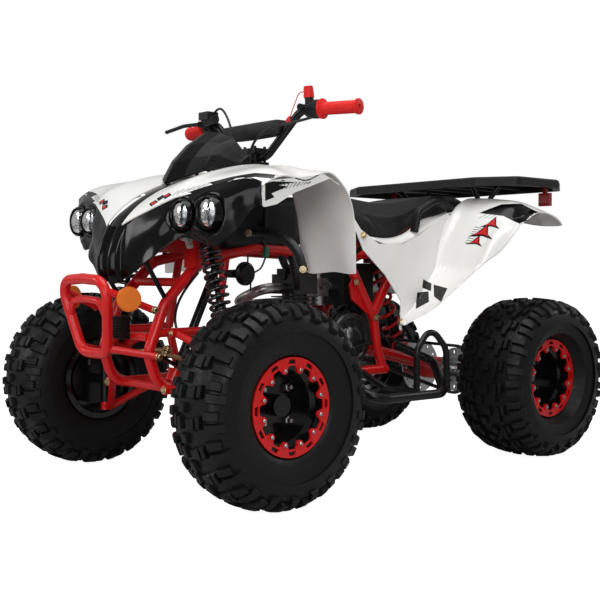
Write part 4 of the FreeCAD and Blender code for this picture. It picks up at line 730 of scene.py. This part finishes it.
film_black = finish("printed_black", (0.003, 0.003, 0.0035), 0.2, patches=0.02, specular=0.25)
film_red = finish("printed_red", (0.55, 0.006, 0.008), 0.2, coat=0.2, patches=0.02, specular=0.35)
film_grey = finish("printed_grey", (0.22, 0.23, 0.24), 0.25, coat=0.2, patches=0.05)
front_skin = BVHTree.FromPolygons([v.co for v in skins["front_fenders"].vertices],
                                  [f.vertices for f in skins["front_fenders"].polygons])
back_points = [v.co for name in ("side_panels", "rear_fenders") for v in skins[name].vertices]
start = len(skins["side_panels"].vertices)
back_faces = [list(f.vertices) for f in skins["side_panels"].polygons]
back_faces += [[k + start for k in f.vertices] for f in skins["rear_fenders"].polygons]
back_skin = BVHTree.FromPolygons(back_points, back_faces)
hood_up, skirt_out = (0.1, -0.55, 0.83), (1, 0, 0)
wing_out, facing = (0.85, -0.45, 0.25), (0.73, -0.68, 0.02)

wing_edge = 0.415
black_print = []
for skin, outline in (
        (front_skin, [(0.255, -0.585, 0.761), (0.313, -0.567, 0.771), (0.373, -0.541, 0.778),
                      (0.412, -0.504, 0.773), (wing_edge, -0.486, 0.760), (wing_edge, -0.530, 0.764),
                      (0.388, -0.556, 0.768), (0.330, -0.577, 0.762), (0.284, -0.592, 0.754)]),
        (front_skin, [(wing_edge, y, z) for y, z in (
            (-0.545, 0.752), (-0.545, 0.712), (-0.518, 0.722), (-0.527, 0.730), (-0.478, 0.748),
            (-0.506, 0.750), (-0.450, 0.760), (-0.520, 0.758))]),
        (back_skin, [(0.193, 0.238, 0.527), (0.197, 0.268, 0.514), (0.197, 0.262, 0.492),
                     (0.197, 0.230, 0.503)]),
        (back_skin, [(0.197, 0.275, 0.511), (0.230, 0.292, 0.500), (0.220, 0.270, 0.462),
                     (0.200, 0.268, 0.476)]),
        (back_skin, [(0.199, 0.206, 0.489), (0.198, 0.252, 0.491), (0.203, 0.244, 0.462),
                     (0.206, 0.190, 0.442)])):
    black_print.append(film(outline, facing, skin, cast=True))
lozenge = np.array([(-0.017, -0.002, 0), (-0.002, 0.008, 0.008), (0.017, 0.002, 0.002),
                    (0.002, -0.009, -0.008)])
small_lozenge = np.array([(-0.010, -0.001, 0), (0, 0.005, 0.005), (0.010, 0.001, 0.001),
                          (0, -0.006, -0.005)])
black_print += [film(lozenge + place, hood_up, front_skin)
                for place in ((0.112, -0.652, 0.716), (0.128, -0.640, 0.728), (0.150, -0.636, 0.731))]
chevrons = []
for x, y, z, size in ((0.305, 0.374, 0.664, 1.0), (0.322, 0.395, 0.690, 0.8), (0.300, 0.350, 0.638, 0.7)):
    for scale, group, thick in ((size, black_print, 0.0006), (size * 0.66, chevrons, 0.0011)):
        long, wide = scale * np.array((0.004, 0.020, 0.028)), scale * np.array((0.034, 0.010, -0.006))
        at = np.array((x, y, z)) + 0.25 * (size - scale) * long
        group.append(film([at + long, at + 0.45 * wide - 0.1 * long, at + wide - 0.6 * long,
                           at + 0.1 * wide - 0.35 * long, at - wide - 0.6 * long,
                           at - 0.45 * wide - 0.1 * long], facing, back_skin, thick, 0.006, True))
red_print = chevrons + [film(small_lozenge + place, hood_up, front_skin, 0.0011)
                        for place in ((0.114, -0.652, 0.716), (0.150, -0.636, 0.732))]
# Each row of grey lines: the widths it takes in turn, its first point, the step to the next line,
# the run of a line, how much less each line rises, and the side it faces.
grey_print = []
for count, widths, first, step, run, less, outward, skin in (
        (7, (0.0016, 0.0024), (0.172, -0.634, 0.727), (0.013, 0.0055, 0.0038), (0.010, 0.016, 0.012),
         0, hood_up, front_skin),
        (9, (0.0014, 0.0021, 0.0028), (wing_edge, -0.505, 0.738), (0, 0.011, 0.0025), (0, 0.012, 0.019),
         0.0017, skirt_out, front_skin),
        (6, (0.0016,), (0.26, 0.395, 0.712), (0.016, 0.007, -0.003), (0.025, 0.022, 0.012),
         0, wing_out, back_skin),
        (8, (0.0022,), (0.250, 0.325, 0.650), (0.002, 0.0035, 0.0075), (0.022, 0.004, -0.004),
         0, wing_out, back_skin)):
    for k in range(count):
        start = np.array(first) + k * np.array(step)
        width = widths[k % len(widths)]
        grey_print.append(stroke(start, start + run - (0, 0, less * k), width, outward, skin))
mirrored("black_graphics", black_print, film_black, "chassis", 40)
mirrored("red_graphics", red_print, film_red, "chassis", 40)
mirrored("grey_graphics", grey_print, film_grey, "chassis", 40)
insert = [film([(0.33, 0.347, 0.726), (0.33, 0.432, 0.7485), (0.33, 0.513, 0.749), (0.33, 0.593, 0.719),
                (0.33, 0.488, 0.687), (0.33, 0.431, 0.713)], facing, back_skin, 0.0014, 0.005, True)]
mirrored("tail_inserts", insert, black_gloss, "chassis", 40)

# Chain: steel side plates with round ends, linked by rollers, run round both sprockets. The inner
# and outer pairs of plates take turns.
chain_pitch = 0.0127
chain_x, plate_end, plate_waist, plate_half = 0.070, 0.0056, 0.0041, 0.0007
inner_pair, outer_pair = 0.0052, 0.0067
drive = np.array((0.072, 0.336))
driven = np.array(rear_hub[1:])
reach = np.array([chain_pitch / (2 * math.sin(math.pi / teeth)) for teeth in (14, 37)])
gap = driven - drive
distance = np.linalg.norm(gap)
heading = math.atan2(gap[1], gap[0])
lean = math.acos((reach[0] - reach[1]) / distance)
run = math.sqrt(distance ** 2 - (reach[1] - reach[0]) ** 2)
arcs = (2 * (math.pi - lean) * reach[0], 2 * lean * reach[1])
line = arcs[0] + arcs[1] + 2 * run
links = 2 * round(line / chain_pitch / 2)


def on_circle(centre, radius, angle):
    """A point of a circle in the (y, z) plane: centre + radius (cos angle, sin angle)."""
    return centre + radius * np.array((math.cos(angle), math.sin(angle)))


def chain_point(s):
    """The point of the chain's pitch line at a distance s along it: an arc round the small
    sprocket, a straight run, an arc round the large one, and a straight run back."""
    s = s % line
    first = heading + lean
    out = first + 2 * (math.pi - lean)
    if s < arcs[0]:
        return on_circle(drive, reach[0], first + s / reach[0])
    s -= arcs[0]
    if s < run:
        start, end = on_circle(drive, reach[0], out), on_circle(driven, reach[1], out)
        return start + (end - start) * s / run
    s -= run
    if s < arcs[1]:
        return on_circle(driven, reach[1], out + s / reach[1])
    s -= arcs[1]
    start, end = on_circle(driven, reach[1], first), on_circle(drive, reach[0], first)
    return start + (end - start) * s / run


def bar(grid):
    """A bar through a grid of rings, closed by a flat face at each end. The rings run anticlockwise
    about the way from the first to the last."""
    points, quads = lattice(grid, False, True)
    points = points.reshape(-1, 3)
    k = np.arange(grid.shape[1])
    return points, quads[:, ::-1], k[None, ::-1], (len(points) - len(k) + k)[None]


link_parts = []
for k in range(links):
    a, b = chain_point(k * line / links), chain_point((k + 1) * line / links)
    along = (b - a) / np.linalg.norm(b - a)
    across = np.array((-along[1], along[0]))
    turns = (-1.2, -0.4, 0.4, 1.2)
    outline = [a + plate_end * (-math.cos(t) * along + math.sin(t) * across) for t in turns]
    outline.append((a + b) / 2 + across * plate_waist)
    outline += [b + plate_end * (math.cos(t) * along + math.sin(t) * across) for t in turns[::-1]]
    outline.append((a + b) / 2 - across * plate_waist)
    for side in (-1, 1):
        x = chain_x + side * (inner_pair if k % 2 else outer_pair)
        link_parts.append(bar(np.array([[(x + face, y, z) for y, z in outline]
                                        for face in (plate_half, -plate_half)])))
    link_parts.append(spun([(-0.0074, 0.0038), (0.0074, 0.0038)], (chain_x, *a), (1, 0, 0), 8))
chain_steel = finish("chain_steel", (0.16, 0.15, 0.14), 0.36, metal=1.0)
chain = made("chain_links", link_parts, chain_steel, "chassis")
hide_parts("chain")

# Seat and bar pad: the seat is a moulded foam cushion in grained vinyl, stretched over a plastic
# base that clips to the frame. The pad is a foam sleeve in cloth, wrapped round the crossbar.


def puffed(name, node, body, material, voxel, cap, shrink):
    """A CAD solid drawn in a little, remeshed and blown up with cloth pressure; no point moves
    further than the cap. The result is applied and subdivided once."""
    points, faces = joined(node)
    middle = (points.min(0) + points.max(0)) / 2
    half = (points.max(0) - points.min(0)) / 2
    points = middle + (points - middle) * (1 - shrink / half)
    piece = shown(name, points.tolist(), faces.tolist(), material)
    remesh = piece.modifiers.new("remesh", "REMESH")
    remesh.mode = "VOXEL"
    remesh.voxel_size = voxel
    bpy.context.view_layer.objects.active = piece
    piece.select_set(True)
    bpy.ops.object.modifier_apply(modifier="remesh")
    mesh = piece.data
    start = np.empty(len(mesh.vertices) * 3)
    mesh.vertices.foreach_get("co", start)
    cloth = piece.modifiers.new("foam", "CLOTH")
    cloth.settings.use_pressure = True
    cloth.settings.uniform_pressure_force = 4
    cloth.settings.effector_weights.gravity = 0
    cloth.point_cache.frame_end = 20
    for number in range(1, 21):
        scene.frame_set(number)
    bpy.ops.object.modifier_apply(modifier="foam")
    mesh = piece.data
    end = np.empty(len(mesh.vertices) * 3)
    mesh.vertices.foreach_get("co", end)
    move = (end - start).reshape(-1, 3)
    far = np.linalg.norm(move, axis=1)[:, None]
    end = start.reshape(-1, 3) + move * np.minimum(1, cap / np.maximum(far, 1e-9))
    mesh.vertices.foreach_set("co", end.ravel())
    scene.frame_set(1)
    soft = piece.modifiers.new("soft", "SUBSURF")
    soft.levels = soft.render_levels = 1
    bpy.ops.object.modifier_apply(modifier="soft")
    piece.data.shade_smooth()
    piece.select_set(False)
    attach(piece, body)
    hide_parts(node)


puffed("saddle_cushion", "seat", "chassis", seat_vinyl, 0.006, 0.006, 0.004)
puffed("bar_cushion", "bar_pad", "handlebar", pad_cloth, 0.005, 0.005, 0.003)

# Seat surround: the shoulder of the white moulding. It closes the body below the seat on both
# sides and is clipped to the side panel.
low_edge = flow([(0.146, 0.075, 0.640), (0.150, 0.150, 0.622), (0.156, 0.220, 0.640),
                 (0.160, 0.300, 0.680), (0.160, 0.370, 0.718), (0.158, 0.440, 0.735)], 30)
high_edge = flow([(0.128, 0.075, 0.648), (0.130, 0.150, 0.645), (0.130, 0.220, 0.660),
                  (0.128, 0.300, 0.702), (0.128, 0.370, 0.718), (0.127, 0.440, 0.738)], 30)
share = np.linspace(0, 1, 6)[:, None, None]
shoulder = low_edge + (high_edge - low_edge) * share
shoulder[..., 0] += 0.006 * np.sin(math.pi * share[..., 0])
for hand, side in (("left", 1), ("right", -1)):
    grid = shoulder * (side, 1, 1)
    sheeted("seat_surround_" + hand, grid[::side], white_plastic)

# Grips: moulded rubber sleeves pushed on the bar's ends, with fine rings, a flange at the thumb and
# a thicker end.
grip_start, grip_end = np.array((0.250, -0.2188, 0.9724)), np.array((0.366, -0.1952, 0.9678))
grip_run = np.linalg.norm(grip_end - grip_start)
sleeve = [(0, 0.0262), (0.0045, 0.0268), (0.008, 0.0215), (0.0095, 0.0175)]
for at in np.arange(0.012, grip_run - 0.012, 0.005):
    sleeve += [(at, 0.0158), (at + 0.0012, 0.0169), (at + 0.0030, 0.0169), (at + 0.0042, 0.0158)]
sleeve += [(grip_run - 0.008, 0.0175), (grip_run - 0.006, 0.0205), (grip_run - 0.001, 0.0205),
           (grip_run, 0.0185), (grip_run, 0.006), (grip_run - 0.004, 0.005), (grip_run - 0.004, 0.001)]
sleeves = [spun(sleeve, grip_start, grip_end - grip_start, 28)]
grips = mirrored("ribbed_grips", sleeves, grip_rubber, "handlebar", 50)
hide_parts("grips")

# Switches: a black drum of moulded plastic clamped to the bar inside the left grip, with two
# buttons, a red stop button on its front and the red cap of the cut-out on top.
red_button = [spun([(0, 0.008), (0.006, 0.008), (0.008, 0.006)], (0.231, -0.184, 0.980), (0, 1, 0.15), 20),
              spun([(-0.020, 0.0142), (0.002, 0.0128), (0.008, 0.0122), (0.010, 0.0100)],
                   (0.213, -0.2319, 1.0245), (0, -0.1, 1), 28)]
made("red_buttons", red_button, grip_rubber, "handlebar", 40)
drum_place = np.array((0.2245, -0.224, 0.9734))
housing = [spun([(0, 0.022), (0.002, 0.0245), (0.010, 0.0248), (0.011, 0.0235), (0.013, 0.0235),
                 (0.014, 0.0248), (0.022, 0.0245), (0.024, 0.022)], drum_place, grip_end - grip_start, 32)]
for step, r, deep in (((0.006, 0.023, 0.012), 0.0045, 0.006), ((0.016, 0.023, -0.010), 0.0055, 0.005)):
    housing.append(spun([(0, r), (deep, r), (deep + 0.001, r * 0.7)], drum_place + step, (0, 1, 0.1), 14))
made("switch_housing", housing, black_plastic, "handlebar", 40)


# Cables: three from the bar's controls to the stem, the cut-out's thin cord down to its clip, and
# the hose between the front brakes. All are sheathed in rubber and fastened at both ends.


def cable(name, body, cover, thick, route):
    """A cable on one NURBS curve whose control points are its route. Its cover is its material, then a
    slot and a stiffness, which are not used."""
    material, slot, stiffness = cover
    curve = bpy.data.curves.new(name, "CURVE")
    curve.dimensions = "3D"
    curve.bevel_depth = thick / 2
    curve.bevel_resolution = 3
    curve.use_fill_caps = True
    run = curve.splines.new("NURBS")
    run.points.add(len(route) - 1)
    run.points.foreach_set("co", np.c_[np.asarray(route, float), np.ones(len(route))].ravel())
    run.order_u = 3
    run.use_endpoint_u = True
    run.resolution_u = 12
    curve.materials.append(material)
    piece = bpy.data.objects.new(name, curve)
    scene.collection.objects.link(piece)
    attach(piece, body)


cable_black = finish("cable_black", (0.006, 0.006, 0.0065), 0.35, specular=0.4)
rubber_hose = (cable_black, "black_plastic", "medium")
thin_cord = (grip_rubber, "grip_rubber", "limp")
cable("right_brake_hose", "handlebar", rubber_hose, 0.0065,
      [(-0.170, -0.256, 0.998), (-0.130, -0.272, 1.012), (-0.075, -0.290, 1.000), (-0.035, -0.296, 0.950),
       (-0.022, -0.294, 0.890), (-0.020, -0.288, 0.845)])
cable("throttle_cable", "handlebar", rubber_hose, 0.006,
      [(-0.225, -0.215, 0.952), (-0.190, -0.268, 0.945), (-0.120, -0.300, 0.935), (-0.060, -0.302, 0.900),
       (-0.030, -0.285, 0.868), (-0.018, -0.272, 0.845)])
cable("switch_lead", "handlebar", rubber_hose, 0.0075,
      [(0.231, -0.232, 0.952), (0.200, -0.262, 0.940), (0.130, -0.296, 0.930), (0.070, -0.300, 0.900),
       (0.032, -0.282, 0.868), (0.018, -0.270, 0.845)])
cable("tether_cord", "handlebar", thin_cord, 0.0026,
      [(0.206, -0.236, 1.020), (0.190, -0.244, 1.022), (0.178, -0.246, 0.996), (0.166, -0.246, 0.978),
       (0.154, -0.243, 0.962), (0.148, -0.238, 0.954)])
made("tether_clip", [spun([(-0.006, 0.0135), (0.006, 0.0135), (0.007, 0.0125)], (0.1465, -0.2345, 0.9495),
                          (0.62, 0.04, 0.56), 20)], grip_rubber, "handlebar", 40)
cable("front_brake_hose", "chassis", rubber_hose, 0.007,
      [(0.134, -0.530, 0.548), (0.104, -0.537, 0.520), (0.062, -0.540, 0.476), (0.044, -0.540, 0.434),
       (0.052, -0.538, 0.398), (0.082, -0.532, 0.372), (0.122, -0.526, 0.352)])

# Stays and plug: a flat curved strap of painted steel, bolted to the frame and the hood, stays the
# wing on each side. A plain oval steel plug closes the clutch cover.


def ribbon(path, toward, width, thick):
    """A flat bar along a smooth path: its width lies square to the path and to the direction it
    faces, its thickness along that direction."""
    middle = flow(path, 28)
    along = np.gradient(middle, axis=0)
    along /= np.linalg.norm(along, axis=1)[:, None]
    across = np.cross(along, np.asarray(toward, float))
    across /= np.linalg.norm(across, axis=1)[:, None]
    through = np.cross(along, across)
    corners = [(-1, -0.8), (-0.9, -1), (0.9, -1), (1, -0.8), (1, 0.8), (0.9, 1), (-0.9, 1), (-1, 0.8)]
    return bar(np.stack([middle + across * width / 2 * a + through * thick / 2 * b for a, b in corners], 1))


strap_faces = (0.73, -0.68, 0.05)
stay = [ribbon([(0.132, -0.372, 0.650), (0.165, -0.345, 0.653), (0.200, -0.312, 0.640),
                (0.228, -0.288, 0.606), (0.243, -0.276, 0.550)], strap_faces, 0.026, 0.005)]
mirrored("wing_stays", stay, black_steel, "chassis", 40)
stay_bolts = bolt((0.136, -0.372, 0.650), strap_faces) + bolt((0.2445, -0.279, 0.556), strap_faces)
mirrored("stay_bolts", stay_bolts, bolt_zinc, "chassis", 30)
plug = spun([(-0.002, 0.013), (0.003, 0.013), (0.0045, 0.011), (0.005, 0.004)], (0, 0, 0), (1, 0, 0), 28)
plug = (plug[0] * (1, 0.85, 1.35) + (0.1255, 0.001, 0.375), *plug[1:])
made("cover_plug", [plug], machined_steel, "chassis", 40)

# Inner guards: a thin black moulded panel on each side closes the space between the frame's top
# tube and the hood. Two rubber breather hoses come down behind it to the cylinder head.
guard_out, guard_bulge, guard_top = 0.112, 0.006, 0.752
guard_start, guard_length = -0.445, 0.28
along = np.linspace(0, 1, 9)[:, None]
up = np.linspace(0, 1, 6)[None, :]
low = 0.608 + 0.016 * ramp(along, 0.5, 0.5)
guard = np.stack([guard_out + guard_bulge * np.sin(np.pi * up) + 0 * along,
                  guard_start + guard_length * along + 0 * up,
                  low + (guard_top - low - 0.03 * (1 - along) ** 2) * up], -1)
for hand, side in (("left", 1), ("right", -1)):
    grid = guard * (side, 1, 1)
    sheeted("inner_guard_" + hand, grid[::side], black_plastic)
hoses = [pipe(flow(route, 20), 0.011, 12) for route in (
    [(0.062, -0.205, 0.622), (0.058, -0.192, 0.590), (0.046, -0.165, 0.562), (0.030, -0.130, 0.550)],
    [(0.088, -0.190, 0.618), (0.080, -0.170, 0.575), (0.066, -0.150, 0.535), (0.044, -0.125, 0.505)])]
made("breather_hoses", hoses, cable_black, "chassis", 60)

# Wiring: thin sheathed wires under the hood and beside the engine, joined by small nylon connectors
# and tied to the frame.


def block(centre, size, lean):
    """A small moulded block with drawn-in ends, leaning over by an angle about the bike's length."""
    rings = []
    for along, draw in ((-1, 0.75), (-0.8, 1), (0.8, 1), (1, 0.75)):
        rings.append([(draw * a, draw * b, along) for a, b in ((-1, -1), (1, -1), (1, 1), (-1, 1))])
    grid = np.array(rings) * np.asarray(size) / 2
    turn = np.array([[math.cos(lean), 0, math.sin(lean)], [0, 1, 0], [-math.sin(lean), 0, math.cos(lean)]])
    return bar(grid @ turn.T + np.asarray(centre))


connector_white = finish("connector_nylon", (0.6, 0.59, 0.56), 0.4)
connector_green = finish("connector_green", (0.01, 0.16, 0.08), 0.35)
made("white_connectors", [block((0.118, -0.560, 0.640), (0.012, 0.016, 0.026), 0.6),
                          block((0.122, -0.548, 0.622), (0.012, 0.016, 0.028), -0.5),
                          block((0.132, -0.545, 0.640), (0.010, 0.012, 0.022), 0.2)],
     connector_white, "chassis")
made("green_connector", [block((0.120, -0.300, 0.602), (0.013, 0.013, 0.028), 0.1)], connector_green,
     "chassis")
wires = [pipe(flow(route, 24), 0.0024, 8) for route in (
    [(0.118, -0.562, 0.652), (0.112, -0.585, 0.668), (0.120, -0.605, 0.690)],
    [(0.124, -0.548, 0.636), (0.140, -0.570, 0.655), (0.150, -0.600, 0.690)],
    [(0.120, -0.300, 0.616), (0.112, -0.315, 0.640), (0.100, -0.360, 0.660), (0.090, -0.460, 0.670)],
    [(0.120, -0.300, 0.590), (0.112, -0.310, 0.560), (0.098, -0.330, 0.540), (0.080, -0.320, 0.500)],
    [(0.150, -0.388, 0.545), (0.135, -0.370, 0.520), (0.118, -0.360, 0.560), (0.110, -0.350, 0.630)],
    [(0.085, -0.190, 0.560), (0.095, -0.220, 0.600), (0.100, -0.280, 0.640), (0.100, -0.360, 0.655)])]
made("wiring", wires, cable_black, "chassis", 60)
